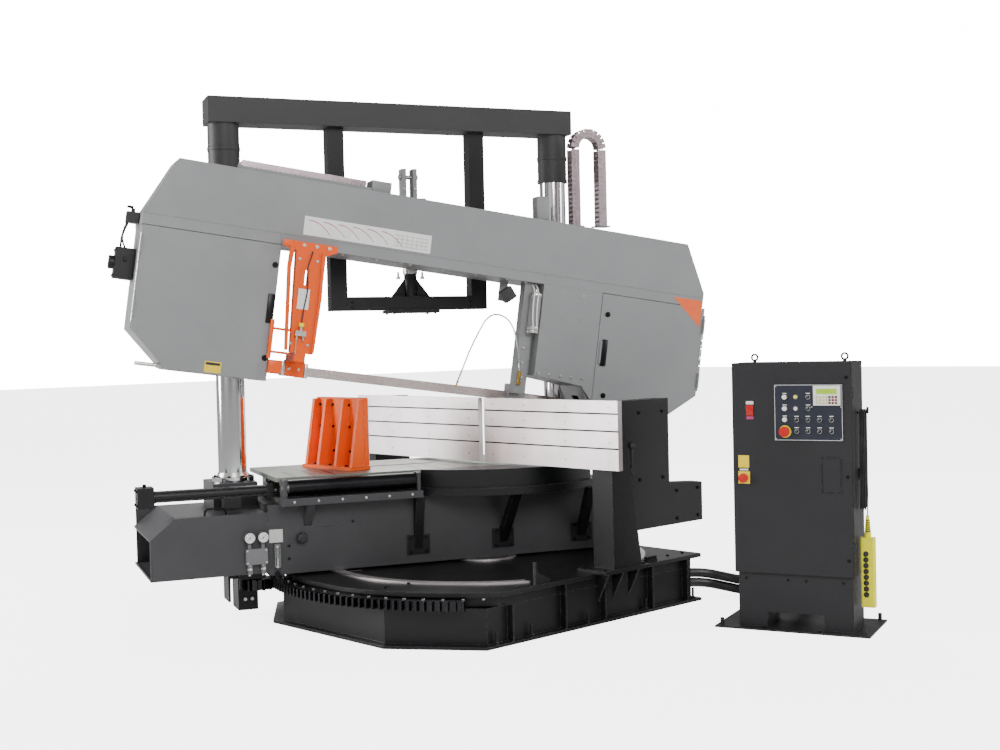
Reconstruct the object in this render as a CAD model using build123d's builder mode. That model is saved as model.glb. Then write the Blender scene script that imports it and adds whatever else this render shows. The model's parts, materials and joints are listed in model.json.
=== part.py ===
from build123d import *
from math import atan2, cos, pi, radians, sin, tan
import os

# Double-column mitre band saw with a canted head, a powered slewing base and a free-standing
# control cabinet.  Millimetres, +Z up.  X runs across the fixed jaws, Y along them (the feed
# direction), and the origin is on the floor under the slewing axis, which is where the blade
# plane crosses the face of the fixed jaws.

MITRE = 21.7            # the head stands this far clockwise of a square cut
CANT = 8.26             # the head slopes down to its drive end
SWIVEL = Plane(Location((0, 0, 0), (0, 0, -MITRE)))

# ---- base ----
BASE_HALF_X = 1460
BASE_HALF_Y = 1160
BASE_CHAMFER_X = 400
BASE_CHAMFER_Y = 540
BASE_RIGHT = 1100
BASE_TOP = 348
TOP_PLATE = 28
FLOOR_FLANGE = 20
FLANGE_LIP = 55
BASE_WALL = 16
TRACK_R = 1190
TRACK_WIDTH = 70
TRACK_HIGH = 12
GEAR_PITCH_R = 1568
GEAR_MODULE = 16
GEAR_THICK = 62
GEAR_RIM = 90
GEAR_TEETH = 60         # of 196 on the full circle: the ring is a sector
GEAR_TOP = 312
GEAR_START = -135.0     # end face of the sector, degrees from +X
PINION_TEETH = 14
PINION_AT = 177.0       # degrees from the head's own X
MESH_BACKLASH = 2.5
ANCHOR_R = 11
ANCHOR_X = (-1360, 1020)
ANCHOR_Y = 560
WEB_X = (-820, -330, 60, 560, 950)
SCREW_X = (-950, -640, -100, 500, 1030)

# ---- jaws and their supports ----
TABLE_Z = 1035
JAW_GAP = 60
JAW_NEAR_Y = -1350
JAW_FAR_Y = 1490
JAW_Z = (1052, 1525)
JAW_THICK = 42
TOWER_Y = (-1245, -1060)
TOWER_FOOT_X = (-60, 410)
REAR_TOWER_Y = (1350, 1470)
LEVER_X = 285
LEVER_Z = 1030

# ---- swivelling body (in its own frame: x along the head, y to the rear) ----
BODY_X = (-1640, 1130)
BODY_Y = (-144, 560)
BODY_Z = (366, 850)
TROUGH_X = (-2437, -1640)
TROUGH_Y = (-144, 744)
TROUGH_Z = (385, 800)
TROUGH_WALL = 8
TABLE_X = (-1575, 620)
TABLE_Y = (-150, 780)
TABLE_THICK = 30
PIVOT_X = -1032          # pin that the movable jaw turns on
PIVOT_Y = 321
PIVOT_R = 20
RIM_Z = (850, 905)
ROLLER_R = 56
ROLLER_X = (-1515, -605)
ROLLER_Y = -212
ROLLER_Z = 968
APRON_ENDS = ((-560, -150), (900, -150))
APRON_NOSE = (170, -505)
APRON_CUT_X = 765        # the drive end's housing comes down past the apron here
APRON_LIP = 30
STRUT_X = (-560, 95, 730)
STRUT_REACH = (20, 250, 150)   # how far each strut runs out under the rim

# ---- columns and the frame that hangs between them ----
COLUMN_R = 100
COLUMN_X = (-1782, 775)
COLUMN_Y = 350
COLUMN_FOOT_Z = 985
CROSSBAR_X = (-1905, 892)
CROSSBAR_Y = (225, 475)
CROSSBAR_Z = (3530, 3712)
SLEEVE_LOW_Z = 3165
POST_X = (-976, 121)
POST_WIDE = 125
POST_DEEP = 110
HANGER_Z = (2190, 2292)
LIFT_X = -410
LIFT_BARREL_R = 48
LIFT_ROD_R = 30
LIFT_BARREL_TOP = 2500
CROSSHEAD_Z = (2975, 3015)

# ---- head (in its canted frame: x along the blade, z square to it, y to the rear) ----
BLADE_Z = 1565
BLADE_WIDE = 67
BLADE_THICK = 1.6
FLAT_RUN = 200           # of blade beyond each wheel before the twist starts
BLADE_SPLIT = 0.4        # gap between the cutting run and the rest of the band, inside the guides
GUIDE_MIDDLE = (-1415, 261)
WHEEL_R = 430
WHEEL_RIM = 76
WHEEL_X = (-2110, 1225)
HEAD_Y = (-200, 200)
HEAD_BEAM_Z = (846, 1316)
HEAD_BEAM_X = (-2580, 1675)
BEAM_WALL = 14
BOX_SKIN = 14
LEFT_BOX_X = (-2575, -1640)
RIGHT_BOX_X = (330, 1700)
DOOR_THICK = 26
DOOR_SPLIT_X = 815
BOX_LOW = -96
SPIGOT = 205             # reach of the drain spigot under the idle end
GAUGES_X = (-1777, -1685)  # the hydraulic gauges on the body, each over its tap
CARRIAGE_Z = ((2020, 2800), (1720, 2500))
CARRIAGE_HALF = 165
ARM_X = (-1555, -1335)
RUNNING = 0.3

# ---- control cabinet (its own frame: x along the front, y to the back) ----
HANK_X = (920, 974)      # the looped pendant lead, hung over its hook
HANK_MIDDLE = 212
HANK_HALF = 42
CABINET = Plane(Location((417, -1806, 0), (0, 0, -70)))
CAB_PLATE = (1020, 572, 12)
CAB_X = (130, 915)
CAB_Y = (52, 392)
CAB_Z = (370, 1760)
PLINTH_X = (148, 905)
PANEL_X = (414, 864)
PANEL_Z = (1248, 1619)
PANEL_THICK = 5
E_STOP = (486, 1310)
MAIN_SWITCH = (205, 1000)
BUTTONS = ((486, 1535), (486, 1460), (486, 1388))
CONTROLS = [(*E_STOP, 10), (*MAIN_SWITCH, 10)] + [(*place, 9) for place in BUTTONS]

# ---- conduits ----
CONDUIT_R = 34
CONDUIT_APART = 72
CONDUIT_ROUTE = [(1049, -1035, 120), (1250, -1035, 105), (1400, -1190, 55), (1440, -1380, 38),
                 (1440, -1800, 38), (1330, -1925, 50), (1150, -1985, 105), (921, -2048, 120)]

HEAD = Plane(SWIVEL.location * Location((0, 0, BLADE_Z), (0, CANT, 0)))


def at(frame, place, face=Plane.XY):
    """A plane parallel to face, at a place given in frame's own coordinates."""
    return Plane(frame.location * Location(place) * face.location)


def slab(x, y, z, mode=Mode.ADD):
    """A box between pairs of limits, in the active part's own frame."""
    with Locations(((x[0] + x[1]) / 2, (y[0] + y[1]) / 2, (z[0] + z[1]) / 2)):
        Box(x[1] - x[0], y[1] - y[0], z[1] - z[0], mode=mode)


def outline(plane, points):
    """A closed straight-sided face on a plane."""
    with BuildSketch(plane) as face:
        with BuildLine():
            Polyline(*points, close=True)
        make_face()
    return face.sketch


def disc(plane, radius, hole=0):
    """A round face, or a ring if hole is given."""
    with BuildSketch(plane) as face:
        Circle(radius)
        if hole:
            Circle(hole, mode=Mode.SUBTRACT)
    return face.sketch


def base_outline(grow=0):
    """Plan of the base: a rectangle with its two left corners cut off."""
    left, right, half = -BASE_HALF_X - grow, BASE_RIGHT + grow, BASE_HALF_Y + grow
    cut_x, cut_y = BASE_CHAMFER_X, BASE_CHAMFER_Y
    return [(left, half - cut_y), (left, cut_y - half), (left + cut_x, -half), (right, -half),
            (right, half), (left + cut_x, half)]


def base_frame():
    """Welded box base: floor flange, walls, outside webs and levelling screws."""
    seat = GEAR_TOP - GEAR_THICK
    with BuildPart() as part:
        extrude(outline(Plane.XY, base_outline()), amount=FLOOR_FLANGE)
        walls = Plane.XY.offset(FLOOR_FLANGE)
        extrude(outline(walls, base_outline(-FLANGE_LIP)), amount=seat - FLOOR_FLANGE)
        extrude(outline(walls, base_outline(-FLANGE_LIP - BASE_WALL)), amount=seat - FLOOR_FLANGE,
                mode=Mode.SUBTRACT)
        for x in (-700, 0, 700):
            slab((x - 8, x + 8), (-BASE_HALF_Y + FLANGE_LIP + 8, BASE_HALF_Y - FLANGE_LIP - 8),
                 (FLOOR_FLANGE, seat))
        for x in WEB_X:
            slab((x - 7, x + 7), (-BASE_HALF_Y + 4, -BASE_HALF_Y + FLANGE_LIP + 2), (FLOOR_FLANGE, seat))
        with Locations(*[(x, side * ANCHOR_Y, 0) for x in ANCHOR_X for side in (-1, 1)]):
            Cylinder(ANCHOR_R, 4 * FLOOR_FLANGE, mode=Mode.SUBTRACT)
        for x in SCREW_X:
            place = (x, -BASE_HALF_Y + 26, FLOOR_FLANGE)
            with Locations(place):
                Cylinder(9, 78, align=(Align.CENTER, Align.CENTER, Align.MIN))
            with BuildSketch(Plane(place)):
                RegularPolygon(17, 6)
            extrude(amount=15)
    return part


def deck_outline(height, inset):
    """Plan of the deck: the base's outline, cut back to a circle inside the ring gear."""
    with BuildSketch(Plane.XY.offset(height)) as face:
        with BuildLine():
            Polyline(*base_outline(-inset), close=True)
        make_face()
        Circle(GEAR_PITCH_R - GEAR_RIM - 4 - inset, mode=Mode.INTERSECT)
        with Locations(((BASE_RIGHT - 700) / 2, 0)):
            Rectangle(BASE_RIGHT + 700 - 2 * inset, 2 * (BASE_HALF_Y - inset))
    return face.sketch


def base_top_plate():
    """Box deck of the base inside the ring gear, with the index stop that squares the head."""
    low = GEAR_TOP - GEAR_THICK
    with BuildPart() as part:
        extrude(deck_outline(low, FLANGE_LIP), amount=BASE_TOP - TOP_PLATE - low)
        extrude(deck_outline(low, FLANGE_LIP + BASE_WALL), amount=BASE_TOP - TOP_PLATE - low,
                mode=Mode.SUBTRACT)
        extrude(deck_outline(BASE_TOP - TOP_PLATE, 0), amount=TOP_PLATE)
        for x in WEB_X:
            if x > -700:
                slab((x - 7, x + 7), (-BASE_HALF_Y + 4, -BASE_HALF_Y + FLANGE_LIP + 2), (low, BASE_TOP - TOP_PLATE))
        stop = at(Plane.XY, (-600, -BASE_HALF_Y + 30, BASE_TOP), Plane.XZ)
        extrude(outline(stop, [(0, 0), (130, 0), (130, 26), (14, 82), (14, 148), (0, 148)]),
                amount=12, both=True)
    return part


def gear_outline(teeth, pitch_r, module, first, last, slim=0):
    """Straight-flanked tooth points from first to last tooth round a pitch circle."""
    step = 2 * pi / teeth
    tip, root = pitch_r + module * 0.95, pitch_r - module * 1.15
    points = []
    for tooth in range(first, last):
        for share, radius in ((-0.25, root), (-0.13, tip), (0.13, tip), (0.25, root)):
            angle = (tooth + share) * step - (slim if share > 0 else -slim) / pitch_r
            points.append((radius * cos(angle), radius * sin(angle)))
    return points


def slew_gear_ring():
    """Fixed half-ring gear round the base, teeth outwards."""
    full = round(2 * GEAR_PITCH_R / GEAR_MODULE)
    last = round((360 + GEAR_START) / 360 * full)
    teeth = gear_outline(full, GEAR_PITCH_R, GEAR_MODULE, last - GEAR_TEETH, last)
    inner = GEAR_PITCH_R - GEAR_RIM
    start = atan2(teeth[0][1], teeth[0][0])
    end = atan2(teeth[-1][1], teeth[-1][0]) + 2 * pi
    middle = (start + end) / 2
    with BuildPart() as part:
        with BuildSketch(Plane.XY.offset(GEAR_TOP - GEAR_THICK)):
            with BuildLine():
                Polyline(*teeth)
                ThreePointArc((inner * cos(start), inner * sin(start)),
                              (inner * cos(middle), inner * sin(middle)),
                              (inner * cos(end), inner * sin(end)))
                Line(teeth[0], (inner * cos(start), inner * sin(start)))
                Line(teeth[-1], (inner * cos(end), inner * sin(end)))
            make_face()
        extrude(amount=GEAR_THICK)
    return part


def ring_track():
    """Hardened ring that the swivelling body slides on, and its pivot post."""
    with BuildPart() as part:
        extrude(disc(Plane.XY.offset(BASE_TOP), TRACK_R, TRACK_R - TRACK_WIDTH), amount=TRACK_HIGH)
        slab((-560, 560), (-TRACK_R - 10, TOWER_Y[1] + 80), (BASE_TOP - 1, BASE_TOP + TRACK_HIGH + 1),
             mode=Mode.SUBTRACT)
        extrude(disc(Plane.XY.offset(BASE_TOP), 240, 150), amount=TRACK_HIGH)
    return part


def vise_tower():
    """Near support of the fixed jaws: buttress post, backing box, arm and gusseted foot."""
    y0, y1 = TOWER_Y
    with BuildPart() as part:
        post = at(Plane.XY, (0, y1, 0), Plane.XZ)
        foot = BASE_TOP + 24
        extrude(outline(post, [(50, foot), (340, foot), (165, JAW_Z[1] - 12), (50, JAW_Z[1] - 12)]),
                amount=y1 - y0)
        slab(TOWER_FOOT_X, (y0 - 20, y1 + 60), (BASE_TOP, foot))
        box = at(Plane.XY, (0, y1 - 20, 0), Plane.XZ)
        extrude(outline(box, [(50, 600), (1090, 600), (1090, 880), (720, 905), (720, JAW_Z[1] - 16),
                              (50, JAW_Z[1] - 16)]), amount=110)
        for x in (-20, 130, 290):
            gusset = at(Plane.XY, (x, 0, 0), Plane.YZ)
            wall = -BASE_HALF_Y - 1
            extrude(outline(gusset, [(wall, BASE_TOP), (y0 - 16, BASE_TOP), (wall, BASE_TOP - 190)]),
                    amount=7, both=True)
        slab((JAW_THICK, 180), (y1, y1 + 560), (1120, 1460))
    return part


def jaw_rear_support():
    """Far support of the fixed jaws: post on the base's far edge with its backing beam."""
    y0, y1 = REAR_TOWER_Y
    with BuildPart() as part:
        slab((60, 420), (y0, y1), (0, JAW_Z[1] - 16))
        slab((20, 480), (BASE_HALF_Y + 2, y1), (0, 24))
        slab((JAW_THICK, 180), (y0 - 620, y0), (1120, 1460))
        slab((60, 420), (BASE_HALF_Y, y0), (BASE_TOP - 60, BASE_TOP))
    return part


def fixed_jaw(y):
    """One ground jaw plate, with its three clamping grooves in the face."""
    with BuildPart() as part:
        slab((0, JAW_THICK), y, JAW_Z)
        high = JAW_Z[1] - JAW_Z[0]
        for share in (0.19, 0.44, 0.69):
            z = JAW_Z[1] - share * high
            slab((-1, 5), (y[0] - 1, y[1] + 1), (z - 5, z + 5), mode=Mode.SUBTRACT)
    return part


def tower_lever():
    """Clamp lever with a ball knob on the tower's face."""
    y = TOWER_Y[1] - 130
    with BuildPart() as part:
        extrude(disc(at(Plane.XY, (LEVER_X, y, LEVER_Z), Plane.XZ), 30), amount=42)
        with Locations((LEVER_X, y - 30, LEVER_Z)):
            Cylinder(9, 150, align=(Align.CENTER, Align.CENTER, Align.MIN))
        with Locations((LEVER_X, y - 30, LEVER_Z + 170)):
            Sphere(26)
    return part


def swivel_beam():
    """Welded body that turns on the ring, with its slide pads and the rim under the table."""
    with BuildPart(SWIVEL) as part:
        slab(BODY_X, BODY_Y, BODY_Z)
        slab((BODY_X[0] + 20, BODY_X[1] - 20), (BODY_Y[0] + 20, BODY_Y[1] - 20),
             (BODY_Z[0] + 20, BODY_Z[1] - 20), mode=Mode.SUBTRACT)
        pad = (BASE_TOP + TRACK_HIGH, BODY_Z[0])
        slab((COLUMN_X[1] - 180, COLUMN_X[1] + 180), (208, BODY_Y[1]), (BODY_Z[1], COLUMN_FOOT_Z))
        for x in (-1150, 1060):
            slab((x - 60, x + 60), (BODY_Y[0] + 4, BODY_Y[0] + 90), pad)
            slab((x - 60, x + 60), (240, 326), pad)
        extrude(disc(at(SWIVEL, (0, 0, pad[0])), 235, 140), amount=pad[1] - pad[0])
    return part


def chip_trough():
    """Open-ended chip and coolant trough that carries the idle side of the table."""
    x0, x1 = TROUGH_X
    y0, y1 = TROUGH_Y
    z0, z1 = TROUGH_Z
    t = TROUGH_WALL
    with BuildPart(SWIVEL) as part:
        slab((x0, x1), (y0, y1), (z0, z0 + t))
        slab((x0, x1), (y0, y0 + t), (z0 + t, 660))
        slab((x0 + 15, x1), (y1 - t, y1), (z0 + t, z1))
        extrude(outline(at(SWIVEL, (0, y0 + t, 0), Plane.XZ),
                        [(x0, 660), (x0 + 170, z1), (x1, z1), (x1, 660)]), amount=t)
        slab((x0 + 170, x1), (y0 + t, y1 - t), (z1 - t, z1))
        extrude(outline(at(SWIVEL, (0, y1 - t, 0), Plane.XZ),
                        [(x0, 652), (x0, 660), (x0 + 170, z1), (x0 + 170, z1 - t)]), amount=y1 - y0 - t)
        slab((COLUMN_X[0] - 170, x1), (185, 610), (z1, COLUMN_FOOT_Z))
    return part


def table_bed():
    """Slotted work table carried by the swivelling body."""
    with BuildPart(SWIVEL) as part:
        slab(TABLE_X, TABLE_Y, (TABLE_Z - TABLE_THICK, TABLE_Z))
        slab((TABLE_X[0] + 40, TABLE_X[1] - 40), (-100, 520), (BODY_Z[1], TABLE_Z - TABLE_THICK))
        low = TABLE_Z - TABLE_THICK
        slab((TABLE_X[0] + 10, -150), (-60, 400), (BODY_Z[1] + 25, low), mode=Mode.SUBTRACT)
        slab((PIVOT_X - 95, PIVOT_X + 760), (PIVOT_Y - 26, PIVOT_Y + 26), (low - 1, TABLE_Z + 1),
             mode=Mode.SUBTRACT)
        slab((-60, TABLE_X[1] + 1), (-16, 16), (low - 60, TABLE_Z + 1), mode=Mode.SUBTRACT)
        slab((300, TABLE_X[1] + 1), (-36, 36), (low - 60, TABLE_Z + 1), mode=Mode.SUBTRACT)
    return part


def apron():
    """Round-nosed support in front of the table, with its rim, struts and feet."""
    (x0, y), (x1, _) = APRON_ENDS
    with BuildPart() as part:
        with BuildSketch(at(SWIVEL, (0, 0, RIM_Z[0]))):
            with BuildLine():
                ThreePointArc((x0, y), APRON_NOSE, (x1, y))
                Line((x0, y), (x1, y))
            make_face()
        extrude(amount=RIM_Z[1] - RIM_Z[0])
        with BuildSketch(at(SWIVEL, (0, 0, RIM_Z[1]))):
            with BuildLine():
                ThreePointArc((x0 + APRON_LIP, y), (APRON_NOSE[0], APRON_NOSE[1] + APRON_LIP),
                              (x1 - APRON_LIP, y))
                Line((x0 + APRON_LIP, y), (x1 - APRON_LIP, y))
            make_face()
        extrude(amount=TABLE_Z - RIM_Z[1])
        with Locations(SWIVEL):
            slab((APRON_CUT_X, x1 + 1), (APRON_NOSE[1] - 1, y + 1), (RIM_Z[0] - 1, TABLE_Z + 1),
                 mode=Mode.SUBTRACT)
        for x, out in zip(STRUT_X, STRUT_REACH):
            side = at(SWIVEL, (x - 32, 0, 0), Plane.YZ)
            reach = BODY_Y[0] - out
            extrude(outline(side, [(BODY_Y[0], 470), (BODY_Y[0], 555), (reach, RIM_Z[0]),
                                   (reach - 66, RIM_Z[0]), (BODY_Y[0] - 12, 470)]), amount=64)
            foot = at(SWIVEL, (x, BODY_Y[0], 500), Plane.XZ)
            extrude(outline(foot, [(-85, -70), (85, -70), (85, 70), (-85, 70)]), amount=10)
    return part


def infeed_roller():
    """Idler roller on the table's front edge, with its stub shafts."""
    with BuildPart() as part:
        start = at(SWIVEL, (ROLLER_X[0], ROLLER_Y, ROLLER_Z), Plane.YZ)
        extrude(disc(start, ROLLER_R), amount=ROLLER_X[1] - ROLLER_X[0])
        extrude(disc(at(SWIVEL, (ROLLER_X[0] - 22, ROLLER_Y, ROLLER_Z), Plane.YZ), 14),
                amount=ROLLER_X[1] - ROLLER_X[0] + 44)
    return part


def roller_rail():
    """Flat rail and the two end brackets that hold the infeed roller."""
    with BuildPart(SWIVEL) as part:
        slab((ROLLER_X[0] - 50, ROLLER_X[1] + 45), (-290, BODY_Y[0]), (RIM_Z[0], RIM_Z[1] - 5))
        for x in (ROLLER_X[0] - 24, ROLLER_X[1] + 24):
            slab((x - 12, x + 12), (ROLLER_Y - 50, BODY_Y[0] - 8), (RIM_Z[1] - 5, ROLLER_Z + 58))
        extrude(disc(at(SWIVEL, (ROLLER_X[0] - 60, ROLLER_Y, ROLLER_Z), Plane.YZ), 14 + RUNNING),
                amount=ROLLER_X[1] - ROLLER_X[0] + 120, mode=Mode.SUBTRACT)
        rib = at(SWIVEL, (-1390, 0, 0), Plane.YZ)
        extrude(outline(rib, [(BODY_Y[0], 690), (BODY_Y[0], RIM_Z[0]), (-280, RIM_Z[0])]), amount=55)
    return part


def vise_cylinder():
    """Hydraulic vise cylinder with its tie rods, end caps and mounting block."""
    y, z = 0, 940
    with BuildPart() as part:
        extrude(disc(at(SWIVEL, (-2390, y, z), Plane.YZ), 38, 16), amount=770)
        for dy in (-30, 30):
            for dz in (-30, 30):
                extrude(disc(at(SWIVEL, (-2390, y + dy, z + dz), Plane.YZ), 7), amount=770)
        for x, wide, half in ((-2500, 110, 70), (-1620, 45, 48)):
            with BuildSketch(at(SWIVEL, (x, y, z), Plane.YZ)):
                Rectangle(2 * half, 2 * half)
                Circle(16, mode=Mode.SUBTRACT)
            extrude(amount=wide)
        with BuildSketch(at(SWIVEL, (-1860, y, 830), Plane.XY)):
            Rectangle(120, 90)
        extrude(amount=z - 38 - 830 + 6)
    return part


def vise_rod():
    """Ram of the vise with the slide block that runs in the table's slot."""
    with BuildPart() as part:
        extrude(disc(at(SWIVEL, (-2370, 0, 940), Plane.YZ), 16 - RUNNING), amount=PIVOT_X + 2370)
        with BuildSketch(at(SWIVEL, (PIVOT_X, PIVOT_Y / 2, 905))):
            Rectangle(86, PIVOT_Y + 90)
        extrude(amount=75)
        extrude(disc(at(SWIVEL, (PIVOT_X, PIVOT_Y, 980)), PIVOT_R), amount=TABLE_Z + 24 - 980)
    return part


def movable_jaw():
    """Ribbed jaw that turns on the ram's slide block to stay parallel to the fixed jaws."""
    with BuildPart() as part:
        foot = TABLE_Z + 1
        slab((-790, -745), (400, 960), (foot + 20, JAW_Z[1] + 30))
        slab((-930, -745), (385, 975), (foot, foot + 24))
        for y in (400, 590, 800, 945):
            rib = at(Plane.XY, (0, y, 0), Plane.XZ)
            extrude(outline(rib, [(-790, foot + 24), (-790, JAW_Z[1] + 20), (-830, JAW_Z[1] + 20),
                                  (-915, foot + 24)]), amount=15, both=True)
        extrude(disc(at(SWIVEL, (PIVOT_X, PIVOT_Y, foot - 1)), PIVOT_R + RUNNING), amount=26,
                mode=Mode.SUBTRACT)
    return part


def column(x):
    """Ground column with its bolted foot flange."""
    with BuildPart(SWIVEL) as part:
        with Locations((x, COLUMN_Y, COLUMN_FOOT_Z)):
            Cylinder(COLUMN_R, CROSSBAR_Z[0] - COLUMN_FOOT_Z, align=(Align.CENTER, Align.CENTER, Align.MIN))
            Cylinder(150, 34, align=(Align.CENTER, Align.CENTER, Align.MIN))
    return part


def top_crossbar():
    """Box beam that ties the columns together, with its two column sleeves."""
    with BuildPart(SWIVEL) as part:
        slab(CROSSBAR_X, CROSSBAR_Y, CROSSBAR_Z)
        slab((CROSSBAR_X[0] + BEAM_WALL, CROSSBAR_X[1] - BEAM_WALL),
             (CROSSBAR_Y[0] + BEAM_WALL, CROSSBAR_Y[1] - BEAM_WALL),
             (CROSSBAR_Z[0] + BEAM_WALL, CROSSBAR_Z[1] - BEAM_WALL), mode=Mode.SUBTRACT)
        for x in COLUMN_X:
            with BuildSketch(at(SWIVEL, (x, COLUMN_Y, SLEEVE_LOW_Z))):
                Circle(COLUMN_R + 12)
                Circle(COLUMN_R, mode=Mode.SUBTRACT)
            extrude(amount=CROSSBAR_Z[0] - SLEEVE_LOW_Z)
    return part


def hanger_post(x):
    """One post of the frame that carries the lift cylinder."""
    with BuildPart(SWIVEL) as part:
        slab((x - POST_WIDE / 2, x + POST_WIDE / 2), (COLUMN_Y - POST_DEEP / 2, COLUMN_Y + POST_DEEP / 2),
             (HANGER_Z[0], CROSSBAR_Z[0]))
    return part


def hanger_bar():
    """Cross bar of the hanging frame, its bolting plate and the lift cylinder's gussets."""
    x0, x1 = POST_X[0] + POST_WIDE / 2, POST_X[1] - POST_WIDE / 2
    y0, y1 = COLUMN_Y - POST_DEEP / 2, COLUMN_Y + POST_DEEP / 2
    with BuildPart(SWIVEL) as part:
        slab((x0, x1), (y0, y1), HANGER_Z)
        slab((LIFT_X - 190, LIFT_X + 190), (y0 - 60, y1 + 60), (HANGER_Z[0] - 22, HANGER_Z[0]))
        for side in (-1, 1):
            web = at(SWIVEL, (LIFT_X, COLUMN_Y, HANGER_Z[1]), Plane.XZ)
            extrude(outline(web, [(side * LIFT_BARREL_R, 0), (side * 150, 0), (side * LIFT_BARREL_R, 130)]),
                    amount=8, both=True)
        with Locations((LIFT_X, COLUMN_Y, HANGER_Z[0])):
            Cylinder(LIFT_BARREL_R, 400, mode=Mode.SUBTRACT)
    return part


def lift_cylinder():
    """Barrel of the lift cylinder, standing in the hanging frame."""
    with BuildPart(SWIVEL) as part:
        extrude(disc(at(SWIVEL, (LIFT_X, COLUMN_Y, HANGER_Z[0] - 22)), LIFT_BARREL_R, LIFT_ROD_R + RUNNING),
                amount=LIFT_BARREL_TOP - HANGER_Z[0] + 22)
    return part


def lift_rod():
    """Lift ram with the crosshead and clevis that carry the head."""
    low, high = CROSSHEAD_Z
    with BuildPart(SWIVEL) as part:
        with Locations((LIFT_X, COLUMN_Y, HANGER_Z[1] + 60)):
            Cylinder(LIFT_ROD_R, low - HANGER_Z[1] - 60, align=(Align.CENTER, Align.CENTER, Align.MIN))
        for side in (-42, 42):
            slab((LIFT_X + side - 16, LIFT_X + side + 16), (COLUMN_Y - 45, COLUMN_Y + 45), (high, 3245))
        slab((LIFT_X - 90, LIFT_X + 90), (HEAD_Y[1] + 1, COLUMN_Y + 60), CROSSHEAD_Z)
        slab((LIFT_X - 90, LIFT_X + 90), (HEAD_Y[1] + 1, HEAD_Y[1] + 31), (2620, low))
    return part


def swivel_drive():
    """Gearmotor of the slewing pinion, hung under the trough."""
    x, y = pinion_place()
    with BuildPart(SWIVEL) as part:
        slab((x - 150, x + 30), (y - 120, y + 170), (GEAR_TOP + 22, TROUGH_Z[0]))
        slab((x - 110, x + 30), (y + 145, y + 365), (70, GEAR_TOP + 22))
        slab((x - 110, x + 30), (y + 165, y + 365), (GEAR_TOP + 22, GEAR_TOP + 40))
        slab((x - 215, x - 200), (y - 60, y + 130), (175, TROUGH_Z[0]))
        slab((x - 200, x - 150), (y - 60, y + 130), (GEAR_TOP + 22, TROUGH_Z[0]))
    return part


def pinion_place():
    """Centre of the pinion in the swivelling frame."""
    reach = GEAR_PITCH_R + PINION_TEETH * GEAR_MODULE / 2
    return reach * cos(radians(PINION_AT)), reach * sin(radians(PINION_AT))


def drive_pinion():
    """Spur pinion in mesh with the ring gear, on its output shaft."""
    x, y = pinion_place()
    full = round(2 * GEAR_PITCH_R / GEAR_MODULE)
    mesh = radians(PINION_AT - MITRE)
    ring_phase = (mesh / (2 * pi) * full) % 1
    pinion_phase = ((mesh + pi) / (2 * pi) * PINION_TEETH) % 1
    turn = (pinion_phase + ring_phase + 0.5) % 1 * 360 / PINION_TEETH
    points = gear_outline(PINION_TEETH, PINION_TEETH * GEAR_MODULE / 2, GEAR_MODULE, 0, PINION_TEETH,
                          MESH_BACKLASH)
    with BuildPart() as part:
        place = Plane(SWIVEL.location * Location((x, y, GEAR_TOP - GEAR_THICK - 6), (0, 0, MITRE + turn)))
        extrude(outline(place, points), amount=GEAR_THICK + 12)
        extrude(disc(at(SWIVEL, (x, y, GEAR_TOP + 6)), 30), amount=16 - RUNNING)
    return part


def gauge_manifold():
    """Hydraulic manifold on the body's face, with gauge cases, tap bodies and a sight glass."""
    face = TROUGH_Y[0]
    with BuildPart() as part:
        with BuildSketch(at(SWIVEL, (-1730, face, 508), Plane.XZ)):
            Rectangle(148, 108)
        extrude(amount=38)
        for x in GAUGES_X:
            extrude(disc(at(SWIVEL, (x, face, 639), Plane.XZ), 38), amount=46)
            with BuildSketch(at(SWIVEL, (x, face, 422), Plane.XZ)):
                Rectangle(30, 66)
            extrude(amount=34)
            with BuildSketch(at(SWIVEL, (x, face, 581), Plane.XZ)):
                Rectangle(22, 42)
            extrude(amount=24)
        with BuildSketch(at(SWIVEL, (-1585, BODY_Y[0], 500), Plane.XZ)):
            Rectangle(42, 160)
        extrude(amount=30)
    return part


def lock_knob():
    """Fluted knob of the body's slide lock."""
    with BuildPart() as part:
        extrude(disc(at(SWIVEL, (-1410, BODY_Y[0] - 0.4, 610), Plane.XZ), 34), amount=44)
        fillet(part.edges().group_by(Axis((0, 0, 0), (-sin(radians(MITRE)), -cos(radians(MITRE)), 0)))[-1], 8)
    return part


LEFT_BOX = [(LEFT_BOX_X[0], HEAD_BEAM_Z[0]), (LEFT_BOX_X[0], 150), (-2310, BOX_LOW),
            (LEFT_BOX_X[1], BOX_LOW), (LEFT_BOX_X[1], HEAD_BEAM_Z[0])]
RIGHT_BOX = [(RIGHT_BOX_X[0], HEAD_BEAM_Z[0]), (RIGHT_BOX_X[0], 168), (720, 130), (860, BOX_LOW),
             (1360, BOX_LOW), (RIGHT_BOX_X[1], 162), (RIGHT_BOX_X[1], HEAD_BEAM_Z[0])]


def inset(plane, points, by):
    """The outline drawn in by a wall all round."""
    with BuildSketch(plane) as shape:
        with BuildLine():
            Polyline(*points, close=True)
        make_face()
        offset(amount=-by, kind=Kind.INTERSECTION)
    return shape.sketch


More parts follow.
